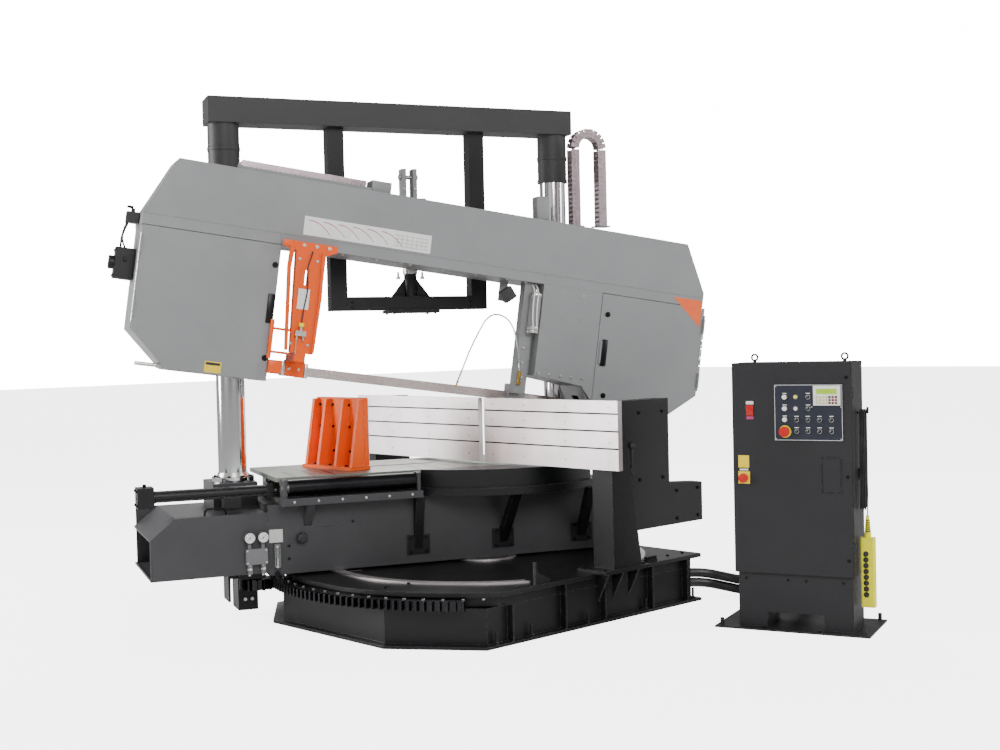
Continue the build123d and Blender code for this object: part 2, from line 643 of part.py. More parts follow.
def wheel_box(points, shaft_x, travel, blade_x, slot=60):
    """Wheel housing: back wall and rim, open at the front where its doors close it."""
    back = at(HEAD, (0, HEAD_Y[1], 0), Plane.XZ)
    deep = HEAD_Y[1] - HEAD_Y[0] - DOOR_THICK
    with BuildPart() as part:
        extrude(outline(back, points), amount=deep)
        hollow = at(HEAD, (0, HEAD_Y[1] - BOX_SKIN, 0), Plane.XZ)
        extrude(inset(hollow, points, BOX_SKIN), amount=deep, mode=Mode.SUBTRACT)
        with BuildSketch(at(HEAD, (blade_x - slot / 2, 0, 0), Plane.YZ)):
            Rectangle(110, 120)
        extrude(amount=slot, mode=Mode.SUBTRACT)
        with BuildSketch(at(HEAD, (shaft_x, HEAD_Y[1] + 5, WHEEL_R), Plane.XZ)):
            Rectangle(104 + 2 * travel, 104)
        extrude(amount=BOX_SKIN + 20, mode=Mode.SUBTRACT)
        top = HEAD_BEAM_Z[0]
        near, far = shaft_x - WHEEL_R - 25, shaft_x + WHEEL_R + 25
        inner = LEFT_BOX_X[1] + 40 if blade_x < 0 else RIGHT_BOX_X[0] - 40
        run = (near, inner) if blade_x < 0 else (inner, far)
        with BuildSketch(at(HEAD, ((run[0] + run[1]) / 2, 0, top - 40))):
            Rectangle(run[1] - run[0], 130)
        extrude(amount=60, mode=Mode.SUBTRACT)
    return part


def head_beam():
    """Long hollow beam over the cut, with its sloping ends and the blade's return passage."""
    x0, x1 = HEAD_BEAM_X
    z0, z1 = HEAD_BEAM_Z
    shape = [(x0, z0), (x1, z0), (x1, 960), (1490, z1), (-2390, z1), (x0, 925)]
    with BuildPart() as part:
        extrude(outline(at(HEAD, (0, HEAD_Y[1], 0), Plane.XZ), shape), amount=HEAD_Y[1] - HEAD_Y[0])
        inner = at(HEAD, (0, HEAD_Y[1] - BEAM_WALL, 0), Plane.XZ)
        extrude(inset(inner, shape, BEAM_WALL), amount=HEAD_Y[1] - HEAD_Y[0] - 2 * BEAM_WALL,
                mode=Mode.SUBTRACT)
        ends = (LEFT_BOX_X[1] + 20, RIGHT_BOX_X[0] - 20)
        for low, high, floor in ((x0 + 20, ends[0], z0 - 5), (*ends, z0 + 8), (ends[1], x1 - 20, z0 - 5)):
            mouth = [(low, floor), (high, floor), (high, z0 + 40), (low, z0 + 40)]
            extrude(outline(at(HEAD, (0, 100, 0), Plane.XZ), mouth), amount=200, mode=Mode.SUBTRACT)
        extrude(outline(at(HEAD, (0, -35, 0), Plane.XZ), [(40, 690), (100, 690), (100, z0), (40, z0)]),
                amount=24)
    return part


def right_wheel_box():
    """Drive-side housing with its fixed front panel between the guide and the door."""
    points = [(RIGHT_BOX_X[0], HEAD_BEAM_Z[0]), (RIGHT_BOX_X[0], 168), (720, 130),
              (DOOR_SPLIT_X - 2, 25), (DOOR_SPLIT_X - 2, HEAD_BEAM_Z[0])]
    part = wheel_box(RIGHT_BOX, WHEEL_X[1], 0, 800, 130)
    with BuildPart() as whole:
        add(part)
        extrude(outline(at(HEAD, (0, HEAD_Y[0] + DOOR_THICK, 0), Plane.XZ), points), amount=DOOR_THICK)
    return whole


def door(points, hinge_x, handle_x):
    """Wheel-box door with its flush handle and the knuckles of its edge hinge."""
    face = HEAD_Y[0] + DOOR_THICK - 0.5
    with BuildPart() as part:
        extrude(outline(at(HEAD, (0, face, 0), Plane.XZ), points), amount=DOOR_THICK)
        with BuildSketch(at(HEAD, (handle_x, HEAD_Y[0], 400), Plane.XZ)):
            RectangleRounded(34, 170, 12)
        extrude(amount=9)
        for z in (230, 650):
            extrude(disc(at(HEAD, (hinge_x, HEAD_Y[0] - 9, z)), 9), amount=110)
            extrude(outline(at(HEAD, (hinge_x, HEAD_Y[0], z), Plane.XZ),
                            [(-9, 0), (9, 0), (9, 110), (-9, 110)]), amount=9)
    return part


def left_door():
    x0, x1 = LEFT_BOX_X
    points = [(x0 + 3, HEAD_BEAM_Z[0] - 4), (x0 + 3, 150), (-2309, BOX_LOW + 3), (x1 - 3, BOX_LOW + 3),
              (x1 - 3, HEAD_BEAM_Z[0] - 4)]
    return door(points, x0 + 3, x1 - 35)


def right_door():
    x0, x1 = DOOR_SPLIT_X + 2, RIGHT_BOX_X[1]
    points = [(x0, HEAD_BEAM_Z[0] - 4), (x0, 10), (862, BOX_LOW + 3), (1359, BOX_LOW + 3),
              (x1 - 3, 163), (x1 - 3, HEAD_BEAM_Z[0] - 4)]
    return door(points, x1 - 3, x0 + 35)


def carriage(x, z):
    """Bearing block that slides on a column and is bolted to the back of the head."""
    with BuildPart(SWIVEL) as part:
        slab((x - CARRIAGE_HALF, x + CARRIAGE_HALF), (HEAD_Y[1] + 1, COLUMN_Y + CARRIAGE_HALF), z)
        with Locations((x, COLUMN_Y, (z[0] + z[1]) / 2)):
            Cylinder(COLUMN_R + RUNNING, z[1] - z[0] + 10, mode=Mode.SUBTRACT)
    return part


def wheel(x):
    """Cast band wheel with its rim, web, hub and stub shaft."""
    rim = WHEEL_R - BLADE_THICK / 2 - 0.2
    with BuildPart() as part:
        extrude(disc(at(HEAD, (x, WHEEL_RIM / 2, WHEEL_R), Plane.XZ), rim, rim - 42), amount=WHEEL_RIM)
        extrude(disc(at(HEAD, (x, 10, WHEEL_R), Plane.XZ), rim - 40), amount=20)
        extrude(disc(at(HEAD, (x, 55, WHEEL_R), Plane.XZ), 95), amount=110)
        extrude(disc(at(HEAD, (x, HEAD_Y[1] + 30, WHEEL_R), Plane.XZ), 38), amount=180)
        with Locations(at(HEAD, (x, 10, WHEEL_R), Plane.XZ)):
            with PolarLocations(245, 6):
                Cylinder(72, 60, mode=Mode.SUBTRACT)
    return part


def idle_carriage():
    """Tension slide behind the idle wheel, with its bearing."""
    x = WHEEL_X[0]
    with BuildPart() as part:
        with BuildSketch(at(HEAD, (x, HEAD_Y[1] + 62, WHEEL_R), Plane.XZ)):
            Rectangle(104, 150)
            Circle(38 + RUNNING, mode=Mode.SUBTRACT)
        extrude(amount=60)
    return part


def gearbox():
    """Worm gearbox and motor on the back of the drive wheel."""
    x = WHEEL_X[1]
    with BuildPart() as part:
        with BuildSketch(at(HEAD, (x, HEAD_Y[1] + 222, WHEEL_R), Plane.XZ)):
            Rectangle(330, 330)
        extrude(amount=220)
        extrude(disc(at(HEAD, (x, HEAD_Y[1] + 60, WHEEL_R), Plane.XZ), 38 + RUNNING), amount=62,
                mode=Mode.SUBTRACT)
        extrude(disc(at(HEAD, (x, HEAD_Y[1] + 112, WHEEL_R + 165)), 95), amount=330)
    return part


def tension_unit():
    """Blade tension cylinder and hydraulic block on the idle end of the head."""
    x = HEAD_BEAM_X[0] - 1
    with BuildPart() as part:
        with BuildSketch(at(HEAD, (x - 62, 60, 480))):
            Rectangle(122, 130)
        extrude(amount=210)
        extrude(disc(at(HEAD, (x, 60, 585), Plane.YZ), 46), amount=-160)
        with BuildSketch(at(HEAD, (x - 42, 20, 860))):
            Rectangle(82, 90)
        extrude(amount=74)
        extrude(disc(at(HEAD, (x - 42, 20, 934)), 14), amount=26)
        extrude(disc(at(HEAD, (LEFT_BOX[2][0], -120, -72), Plane.YZ), 13), amount=-SPIGOT)
        extrude(outline(at(HEAD, (0, HEAD_Y[1], 0), Plane.XZ), LEFT_BOX), amount=HEAD_Y[1] - HEAD_Y[0],
                mode=Mode.SUBTRACT)
    return part


def blade():
    """Endless band: flat on the wheels, twisted upright between the guides.

    The cutting run is a solid of its own, which ends inside the guides.
    """
    left, right = WHEEL_X
    half = BLADE_THICK / 2
    with BuildPart() as part:
        for x, start in ((left, 90), (right, -90)):
            with BuildSketch(at(HEAD, (x, BLADE_WIDE / 2, WHEEL_R), Plane.XZ)):
                with BuildLine():
                    outer = CenterArc((0, 0), WHEEL_R + half, start, 180)
                    inner = CenterArc((0, 0), WHEEL_R - half, start, 180)
                    Line(outer @ 0, inner @ 0)
                    Line(outer @ 1, inner @ 1)
                make_face()
            extrude(amount=BLADE_WIDE)
        for x0, x1, z in ((left, right, 2 * WHEEL_R), (left, left + FLAT_RUN, 0), (right - FLAT_RUN, right, 0)):
            with BuildSketch(at(HEAD, (x0, 0, z), Plane.YZ)):
                Rectangle(BLADE_WIDE, BLADE_THICK)
            extrude(amount=x1 - x0)
        upright = (ARM_X[0] + 60, 330)
        for x0, x1, first, last in ((left + FLAT_RUN, upright[0], 0, 90), (upright[1], right - FLAT_RUN, 90, 0)):
            steps = 6
            with BuildSketch(*[twisted(x0 + (x1 - x0) * i / steps, first + (last - first) * i / steps)
                               for i in range(steps + 1)]):
                Rectangle(BLADE_WIDE, BLADE_THICK)
            loft(ruled=True)
        run = (GUIDE_MIDDLE[0] + BLADE_SPLIT, GUIDE_MIDDLE[1] - BLADE_SPLIT)
        for x0, x1 in ((upright[0], GUIDE_MIDDLE[0]), run, (GUIDE_MIDDLE[1], upright[1])):
            with BuildSketch(at(HEAD, (x0, 0, 0), Plane.YZ)):
                Rectangle(BLADE_THICK, BLADE_WIDE)
            extrude(amount=x1 - x0)
    return part


def twisted(x, angle):
    """Section plane across the blade, turned about its length."""
    return Plane(at(HEAD, (x, 0, 0), Plane.YZ).location * Location((0, 0, 0), (0, 0, angle)))


def guide_arm():
    """Sliding blade guide arm on the beam's front, with its slot and carbide block."""
    x0, x1 = ARM_X
    front = HEAD_Y[0] - 60
    with BuildPart() as part:
        arm = at(HEAD, (0, front + 59.5, 0), Plane.XZ)
        extrude(outline(arm, [(x0 - 70, 880), (x0 - 70, 835), (x0 + 5, 820), (x0 + 40, 120),
                              (x1 - 20, 120), (x1 - 5, 500), (x1 - 5, 800), (x1 + 70, 835),
                              (x1 + 70, 880)]), amount=57.5)
        with BuildSketch(at(HEAD, (x0 + 95, front + 70, 640), Plane.XZ)):
            RectangleRounded(22, 110, 10)
        extrude(amount=90, mode=Mode.SUBTRACT)
        with Locations(HEAD):
            slab((x0 + 70, x0 + 150), (front + 2, -8), (60, 122))
            slab((x0 + 70, x0 + 205), (-40, -3), (-45, 60))
            slab((x0 + 70, x0 + 205), (3, 40), (-45, 60))
            slab((x0 + 70, x0 + 205), (-40, 40), (44, 70))
    return part


def fixed_guide():
    """Fixed guide arm beside the drive box, with its hydraulic clamp cylinder."""
    with BuildPart(HEAD) as part:
        x0, x1 = 200, 322
        slab((x0, x1 - 30), (-150, -60), (20, HEAD_BEAM_Z[0] - 1))
        slab((x0, x1), (-60, -3), (-45, 90))
        slab((x0, x1), (3, 40), (-45, 90))
        slab((x0, x1), (-60, 40), (44, 90))
        with Locations((x0 + 78, -190, 620)):
            Cylinder(42, 280)
        slab((x0 + 60, x0 + 130), (-160, -148), (500, 740))
    return part


def work_lamp():
    """Small square work lamp on its pivot under the beam."""
    with BuildPart() as part:
        place = Plane(at(HEAD, (70, -120, 735), Plane.XZ).location * Location((0, 0, 0), (0, 0, 40)))
        with BuildSketch(place):
            Rectangle(92, 92)
        extrude(amount=60)
        extrude(disc(at(HEAD, (70, -60, 735), Plane.XZ), 16), amount=62)
    return part


def chain_arch():
    """Energy chain loop that follows the head beside the drive-side column."""
    x, width, deep, top, low = 915, 150, 95, 3395, -590
    with BuildPart() as part:
        with BuildSketch(at(SWIVEL, (x, 60, top), Plane.XZ)):
            with BuildLine():
                outer = CenterArc((0, 0), width, 0, 180)
                Line(outer @ 0, (width, low))
                Line((width, low), (width - 78, low))
                Line((width - 78, low), (width - 78, 0))
                CenterArc((0, 0), width - 78, 0, 180)
                Line((78 - width, 0), (78 - width, low))
                Line((78 - width, low), (-width, low))
                Line((-width, low), outer @ 1)
            make_face()
        extrude(amount=deep)
    return part


def cabinet_shell():
    """Sheet-steel cabinet: sides, back, top and bottom, open at the front for its door."""
    t = 4
    with BuildPart(CABINET) as part:
        slab(CAB_X, (CAB_Y[0] + 22, CAB_Y[1]), CAB_Z)
        slab((CAB_X[0] + t, CAB_X[1] - t), (CAB_Y[0] + 20, CAB_Y[1] - t), (CAB_Z[0] + t, CAB_Z[1] - t),
             mode=Mode.SUBTRACT)
        for x in (CAB_X[0] + 130, CAB_X[1] - 60):
            extrude(disc(at(CABINET, (x, 160, CAB_Z[1])), 12), amount=14)
            with Locations(Location((x, 160, CAB_Z[1] + 34), (90, 0, 0))):
                Torus(20, 7)
    return part


def cabinet_plinth():
    """Floor plate with hold-down bolts, two legs and the recessed plinth box."""
    wide, deep, thick = CAB_PLATE
    y = (CAB_Y[0] + 25, CAB_Y[1] - 5)
    with BuildPart(CABINET) as part:
        slab((0, wide), (0, deep), (0, thick))
        slab(PLINTH_X, y, (112, CAB_Z[0]))
        for x0 in (PLINTH_X[0], PLINTH_X[1] - 190):
            slab((x0, x0 + 190), y, (thick, 112))
        with Locations((40, 40), (wide - 40, 40), (40, deep - 40), (wide - 40, deep - 40)):
            Cylinder(13, 60, align=(Align.CENTER, Align.CENTER, Align.MIN))
    return part


def cabinet_door():
    """Door of the cabinet with the control panel's fascia and its hinge barrels."""
    with BuildPart(CABINET) as part:
        slab((CAB_X[0] + 2, CAB_X[1] - 2), (CAB_Y[0], CAB_Y[0] + 20), (CAB_Z[0] + 2, CAB_Z[1] - 2))
        slab(PANEL_X, (CAB_Y[0] - PANEL_THICK, CAB_Y[0]), PANEL_Z)
        slab((672, 852), (CAB_Y[0] - 2 * PANEL_THICK, CAB_Y[0] - PANEL_THICK), (1478, 1611))
        for z in (560, 1560):
            with Locations((CAB_X[1] + 8, CAB_Y[0] + 8, z)):
                Cylinder(8, 70)
            slab((CAB_X[1] - 6, CAB_X[1] + 8), (CAB_Y[0] + 2, CAB_Y[0] + 14), (z - 35, z + 35))
        for x, z, radius in CONTROLS:
            extrude(disc(at(CABINET, (x, CAB_Y[0] - 8, z), Plane.XZ), radius + RUNNING), amount=-40,
                    mode=Mode.SUBTRACT)
    return part


def control(place, parts, stem=9):
    """A round control on the door: stacked discs of (radius, from, to) in front of the fascia."""
    x, z = place
    with BuildPart() as part:
        extrude(disc(at(CABINET, (x, CAB_Y[0] + 16, z), Plane.XZ), stem), amount=28)
        for radius, start, end in parts:
            extrude(disc(at(CABINET, (x, CAB_Y[0] - start, z), Plane.XZ), radius), amount=end - start)
    return part


def pendant_hanger():
    """Hook on the cabinet's side that the pendant and its cable hang from."""
    with BuildPart(CABINET) as part:
        slab((CAB_X[1], CAB_X[1] + 75), (200, 224), (1420, 1432))
        slab((CAB_X[1] + 63, CAB_X[1] + 75), (200, 224), (1432, 1462))
    return part


def pendant_box():
    """Pendant control with its strain relief, hung beside the cabinet."""
    with BuildPart(CABINET) as part:
        slab((930, 1022), (170, 235), (165, 615))
        fillet(part.edges().filter_by(Axis.Z), 14)
        with Locations((976, 202, 615)):
            Cylinder(22, 34, align=(Align.CENTER, Align.CENTER, Align.MIN))
        with Locations((976, 202, 649)):
            Cone(18, 10, 110, align=(Align.CENTER, Align.CENTER, Align.MIN))
    return part


def pendant_hank():
    """Looped pendant cable, hung over the hook as one bundle."""
    with BuildPart(CABINET) as part:
        wide = (HANK_MIDDLE - HANK_HALF, HANK_MIDDLE + HANK_HALF)
        slab(HANK_X, wide, (759.5, 1470))
        hook = (HANK_MIDDLE - 14, HANK_MIDDLE + 14)
        slab((HANK_X[0] - 1, HANK_X[1] + 1), hook, (1418, 1433), mode=Mode.SUBTRACT)
    return part


def bend_radii(route):
    """A radius for each corner: 0.45 of its shorter run over the tangent of half its turn."""
    radii = []
    for before, corner, after in zip(route, route[1:], route[2:]):
        into = Vector(*corner) - Vector(*before)
        out = Vector(*after) - Vector(*corner)
        half_turn = radians(into.get_angle(out)) / 2
        radii.append(0.45 * min(into.length, out.length) / tan(half_turn))
    return radii


def conduit(lift):
    """Armoured conduit from the base, along the floor and up into the back of the cabinet."""
    route = [(x, y, z + lift) for x, y, z in CONDUIT_ROUTE]
    with BuildPart() as part:
        with BuildLine():
            FilletPolyline(*route, radius=bend_radii(route))
        with BuildSketch(Plane(route[0], z_dir=Vector(*route[1]) - Vector(*route[0]))):
            Circle(CONDUIT_R)
        sweep()
    return part


def save(name, piece):
    piece.part.label = name
    export_step(piece.part, f"parts/{name}.step")


os.makedirs("parts", exist_ok=True)
save("base_frame", base_frame())
save("base_top_plate", base_top_plate())
save("slew_gear_ring", slew_gear_ring())
save("ring_track", ring_track())
save("vise_tower", vise_tower())
save("jaw_rear_support", jaw_rear_support())
save("fixed_jaw_near", fixed_jaw((JAW_NEAR_Y, -JAW_GAP / 2)))
save("fixed_jaw_far", fixed_jaw((JAW_GAP / 2, JAW_FAR_Y)))
save("tower_lever", tower_lever())
save("swivel_beam", swivel_beam())
save("chip_trough", chip_trough())
save("table_bed", table_bed())
save("apron", apron())
save("roller_rail", roller_rail())
save("infeed_roller", infeed_roller())
save("vise_cylinder", vise_cylinder())
save("vise_rod", vise_rod())
save("movable_jaw", movable_jaw())
for side, x in zip(("left", "right"), COLUMN_X):
    save(f"column_{side}", column(x))
save("top_crossbar", top_crossbar())
for side, x in zip(("left", "right"), POST_X):
    save(f"hanger_post_{side}", hanger_post(x))
save("hanger_bar", hanger_bar())
save("lift_cylinder", lift_cylinder())
save("lift_rod", lift_rod())
save("swivel_drive", swivel_drive())
save("drive_pinion", drive_pinion())
save("gauge_manifold", gauge_manifold())
save("lock_knob", lock_knob())
save("head_beam", head_beam())
save("left_wheel_box", wheel_box(LEFT_BOX, WHEEL_X[0], 40, LEFT_BOX_X[1]))
save("right_wheel_box", right_wheel_box())
save("left_door", left_door())
save("right_door", right_door())
for side, x, z in zip(("left", "right"), COLUMN_X, CARRIAGE_Z):
    save(f"carriage_{side}", carriage(x, z))
save("idle_wheel", wheel(WHEEL_X[0]))
save("drive_wheel", wheel(WHEEL_X[1]))
save("idle_carriage", idle_carriage())
save("gearbox", gearbox())
save("tension_unit", tension_unit())
save("blade", blade())
save("guide_arm", guide_arm())
save("fixed_guide", fixed_guide())
save("work_lamp", work_lamp())
save("chain_arch", chain_arch())
save("cabinet_shell", cabinet_shell())
save("cabinet_plinth", cabinet_plinth())
save("cabinet_door", cabinet_door())
save("estop_button", control(E_STOP, ((14, 12, 18), (34, 18, 36))))
save("main_switch", control(MAIN_SWITCH, ((20, 0.5, 12), (30, 12, 34))))
for number, place in enumerate(BUTTONS, 1):
    save(f"push_button_{number}", control(place, ((15, 11, 20),), 8.5))
save("pendant_hanger", pendant_hanger())
save("pendant_box", pendant_box())
save("pendant_hank", pendant_hank())
save("conduit_lower", conduit(0))
save("conduit_upper", conduit(CONDUIT_APART))
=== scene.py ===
import json
from math import cos, pi, radians, sin

import bmesh
import bpy
from mathutils import Matrix, Vector


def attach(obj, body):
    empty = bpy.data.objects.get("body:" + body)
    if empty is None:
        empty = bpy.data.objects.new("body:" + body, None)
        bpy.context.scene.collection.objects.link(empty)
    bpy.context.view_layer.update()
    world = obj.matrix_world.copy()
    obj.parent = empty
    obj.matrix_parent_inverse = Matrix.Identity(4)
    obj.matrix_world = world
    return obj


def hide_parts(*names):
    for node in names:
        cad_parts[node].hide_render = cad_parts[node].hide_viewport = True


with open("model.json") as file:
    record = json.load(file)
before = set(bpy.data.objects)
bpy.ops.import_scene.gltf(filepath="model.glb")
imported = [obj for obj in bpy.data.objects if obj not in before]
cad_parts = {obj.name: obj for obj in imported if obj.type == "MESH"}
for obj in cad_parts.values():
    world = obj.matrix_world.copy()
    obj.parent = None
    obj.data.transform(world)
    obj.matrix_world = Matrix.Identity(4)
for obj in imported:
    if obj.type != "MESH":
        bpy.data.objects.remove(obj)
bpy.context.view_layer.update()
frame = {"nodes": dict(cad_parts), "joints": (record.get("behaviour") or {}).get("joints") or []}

nodes = frame["nodes"]
joints = {joint["name"]: joint for joint in frame["joints"]}

# ---- Camera ----
# A long lens at eye height, a little to the left of the machine's near corner, which looks
# slightly down at it. Its right, up and forward directions come from three small turns.
yaw, pitch, roll = radians(43.4), radians(1.48), radians(-1.33)
level_right = Vector((cos(yaw), -sin(yaw), 0))
level_forward = Vector((sin(yaw), cos(yaw), 0))
forward = level_forward * cos(pitch) - Vector((0, 0, sin(pitch)))
level_up = Vector((0, 0, cos(pitch))) + level_forward * sin(pitch)
right = level_right * cos(roll) + level_up * sin(roll)
up = level_up * cos(roll) - level_right * sin(roll)
camera_data = bpy.data.cameras.new("camera")
camera_data.lens = 48.78
camera_data.sensor_width = 36
camera = bpy.data.objects.new("camera", camera_data)
turn = Matrix((right, up, -forward)).transposed().to_4x4()
camera.matrix_world = Matrix.Translation((-6.786, -7.3905, 1.95)) @ turn
bpy.context.scene.collection.objects.link(camera)
bpy.context.scene.camera = camera


# ---- Floor and light ----
# A pale seamless studio floor, a pale room round it, and four large soft lamps: one high
# over the front, one from each side, and one from behind that lifts the edges off the ground.
def to_linear(code):
    """The linear colour of an sRGB hex code, with an alpha of one."""
    parts = [int(code[i:i + 2], 16) / 255 for i in (1, 3, 5)]
    return (*[p / 12.92 if p <= 0.04045 else ((p + 0.055) / 1.055) ** 2.4 for p in parts], 1)


def add_node(tree, kind, inputs=None, **settings):
    """A new shader node: an input given as a socket is linked, and any other is set."""
    node = tree.nodes.new("ShaderNode" + kind)
    for key, value in settings.items():
        setattr(node, key, value)
    for key, value in (inputs or {}).items():
        if isinstance(value, bpy.types.NodeSocket):
            tree.links.new(value, node.inputs[key])
        else:
            node.inputs[key].default_value = value
    return node


def new_material(name):
    """An empty material with its principled shader, and the tree that they are in."""
    material = bpy.data.materials.new(name)
    material.use_nodes = True
    tree = material.node_tree
    tree.nodes.clear()
    shader = add_node(tree, "BsdfPrincipled")
    add_node(tree, "OutputMaterial", {"Surface": shader.outputs[0]})
    return material, tree, shader


floor_mesh = bmesh.new()
bmesh.ops.create_grid(floor_mesh, x_segments=1, y_segments=1, size=60)
floor_data = bpy.data.meshes.new("floor")
floor_mesh.to_mesh(floor_data)
floor_mesh.free()
floor = bpy.data.objects.new("floor", floor_data)
bpy.context.scene.collection.objects.link(floor)
floor_paint, tree, shader = new_material("studio_floor")
shader.inputs["Base Color"].default_value = to_linear("#f4f4f4")
shader.inputs["Roughness"].default_value = 0.9
shader.inputs["Emission Color"].default_value = to_linear("#ffffff")
seen_by = add_node(tree, "LightPath")
lifted = add_node(tree, "Math", {0: seen_by.outputs["Is Camera Ray"], 1: 4.0}, operation="MULTIPLY")
tree.links.new(lifted.outputs["Value"], shader.inputs["Emission Strength"])
floor_data.materials.append(floor_paint)

world = bpy.data.worlds.new("room")
world.use_nodes = True
room = world.node_tree
way = add_node(room, "TexCoord").outputs["Generated"]
round_about = add_node(room, "TexGradient", {"Vector": way}, gradient_type="RADIAL")
panels = add_node(room, "ValToRGB", {"Fac": round_about.outputs["Fac"]})
panels.color_ramp.interpolation = "EASE"
for place, grey in ((0.06, 0.85), (0.16, 0.16), (0.24, 0.70), (0.34, 0.12), (0.42, 0.90),
                    (0.52, 0.14),
                    (0.62, 0.60), (0.70, 0.55), (0.78, 0.12), (0.87, 0.95)):
    stop = panels.color_ramp.elements.new(place)
    stop.color = (grey, grey, grey, 1)
for stop in (panels.color_ramp.elements[0], panels.color_ramp.elements[-1]):
    stop.color = (0.30, 0.30, 0.30, 1)
seen_by = add_node(room, "LightPath")
shown = add_node(room, "Mix", {"Factor": seen_by.outputs["Is Camera Ray"]}, data_type="RGBA")
room.links.new(panels.outputs["Color"], shown.inputs["A"])
shown.inputs["B"].default_value = (16, 16, 16, 1)
room.links.new(shown.outputs["Result"], room.nodes["Background"].inputs["Color"])
room.nodes["Background"].inputs["Strength"].default_value = 1.0
bpy.context.scene.world = world
for name, place, aim, size, power in (
    ("front_lamp", (-5.5, -9.0, 6.5), (0, -0.5, 1.4), 5.0, 700),
    ("left_lamp", (-8.0, 6.0, 3.5), (-0.3, 0, 1.4), 5.0, 1000),
    ("right_lamp", (5.5, -8.5, 5.0), (0.8, 0, 1.6), 4.0, 420),
    ("back_lamp", (4.5, 7.0, 7.0), (0, 0, 2.0), 5.0, 380),
):
    lamp_data = bpy.data.lights.new(name, "AREA")
    lamp_data.shape = "DISK"
    lamp_data.size = size
    lamp_data.energy = power
    lamp = bpy.data.objects.new(name, lamp_data)
    lamp.location = place
    lamp.rotation_mode = "QUATERNION"
    lamp.rotation_quaternion = (Vector(aim) - Vector(place)).to_track_quat("-Z", "Y")
    bpy.context.scene.collection.objects.link(lamp)

# ---- Armoured conduits ----
# Two flexible steel conduits in black ribbed PVC jackets, 68 mm across, which carry the cables
# from the base round to the back of the cabinet. They rest on the floor one over the other.
def moulded_black(name, code="#17181a", roughness=0.55, grain=400):
    """Moulded black polymer: nearly even in colour, with a fine matt grain and faint dust."""
    material, tree, shader = new_material(name)
    spot = add_node(tree, "TexCoord").outputs["Object"]
    dust = add_node(tree, "TexNoise", {"Vector": spot, "Scale": 7.0, "Detail": 6.0})
    tint = add_node(tree, "ValToRGB", {"Fac": dust.outputs["Fac"]})
    tint.color_ramp.elements[0].position = 0.35
    tint.color_ramp.elements[0].color = to_linear(code)
    tint.color_ramp.elements[1].position = 0.8
    tint.color_ramp.elements[1].color = to_linear("#3b3b3c")
    skin = add_node(tree, "TexNoise", {"Vector": spot, "Scale": grain, "Detail": 2.0})
    bump = add_node(tree, "Bump",
                    {"Height": skin.outputs["Fac"], "Distance": 0.0004, "Strength": 0.35})
    tree.links.new(tint.outputs["Color"], shader.inputs["Base Color"])
    tree.links.new(bump.outputs["Normal"], shader.inputs["Normal"])
    shader.inputs["Roughness"].default_value = roughness
    return material


CONDUIT_ACROSS = 0.068
CONDUIT_ROUTES = {
    "conduit_lower": [(1.049, -1.035, 0.120), (1.250, -1.035, 0.105), (1.400, -1.190, 0.055),
                      (1.440, -1.380, 0.038), (1.440, -1.800, 0.038), (1.330, -1.925, 0.050),
                      (1.150, -1.985, 0.105), (0.921, -2.048, 0.120)],
    "conduit_upper": [(1.049, -1.035, 0.192), (1.250, -1.035, 0.177), (1.400, -1.190, 0.127),
                      (1.440, -1.380, 0.110), (1.440, -1.800, 0.110), (1.330, -1.925, 0.122),
                      (1.150, -1.985, 0.177), (0.921, -2.048, 0.192)],
}
ribbed_pvc = moulded_black("ribbed_pvc_jacket", roughness=0.42)


def lay_cord(name, route, across, material):
    """A smooth round cord whose control points are the route's own points."""
    line = bpy.data.curves.new(name, "CURVE")
    line.dimensions = "3D"
    line.bevel_depth = across / 2
    line.bevel_resolution = 6
    line.use_fill_caps = True
    spline = line.splines.new("NURBS")
    spline.points.add(len(route) - 1)
    for point, place in zip(spline.points, route):
        point.co = (*place, 1)
    spline.order_u = 3
    spline.use_endpoint_u = True
    spline.resolution_u = 12
    cord = bpy.data.objects.new(name, line)
    bpy.context.scene.collection.objects.link(cord)
    line.materials.append(material)
    return cord


def cord_line(cord):
    """The points that a cord's own smooth line passes through."""
    bare = cord.data.copy()
    bare.bevel_depth = 0
    helper = bpy.data.objects.new("line", bare)
    mesh = bpy.data.meshes.new_from_object(helper)
    points = [v.co.copy() for v in mesh.vertices]
    bpy.data.objects.remove(helper)
    bpy.data.curves.remove(bare)
    bpy.data.meshes.remove(mesh)
    return points


def finish_piece(name, mesh, body, material, place=Matrix(), soft=30):
    """Makes a shaped bmesh a piece that rides on a body, with its finish."""
    bmesh.ops.transform(mesh, matrix=place, verts=mesh.verts)
    data = bpy.data.meshes.new(name)
    mesh.to_mesh(data)
    mesh.free()
    data.shade_smooth()
    data.set_sharp_from_angle(angle=radians(soft))
    made = bpy.data.objects.new(name, data)
    bpy.context.scene.collection.objects.link(made)
    for finish in material if isinstance(material, list) else [material]:
        data.materials.append(finish)
    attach(made, body)
    return made


def length_of(points):
    """How long a line of points is."""
    return sum((b - a).length for a, b in zip(points, points[1:]))


for name, route in CONDUIT_ROUTES.items():
    conduit = lay_cord(name + "_jacket", route, CONDUIT_ACROSS, ribbed_pvc)
    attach(conduit, "base")
    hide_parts(name)
    line = cord_line(conduit)


# ---- Where the machine's parts stand ----
# The head is canted and stands mitred, and the cabinet is turned on the floor, so their pieces
# are drawn square in three frames of their own, which come from the CAD joints' axes.
def square_frame(x_axis, y_axis, centre, centre_inside):
    """A frame with these axes, in which the CAD point `centre` has the place `centre_inside`."""
    x_axis, y_axis = Vector(x_axis), Vector(y_axis)
    turned = Matrix((x_axis, y_axis, x_axis.cross(y_axis))).transposed().to_4x4()
    return Matrix.Translation(centre) @ turned @ Matrix.Translation(-Vector(centre_inside))


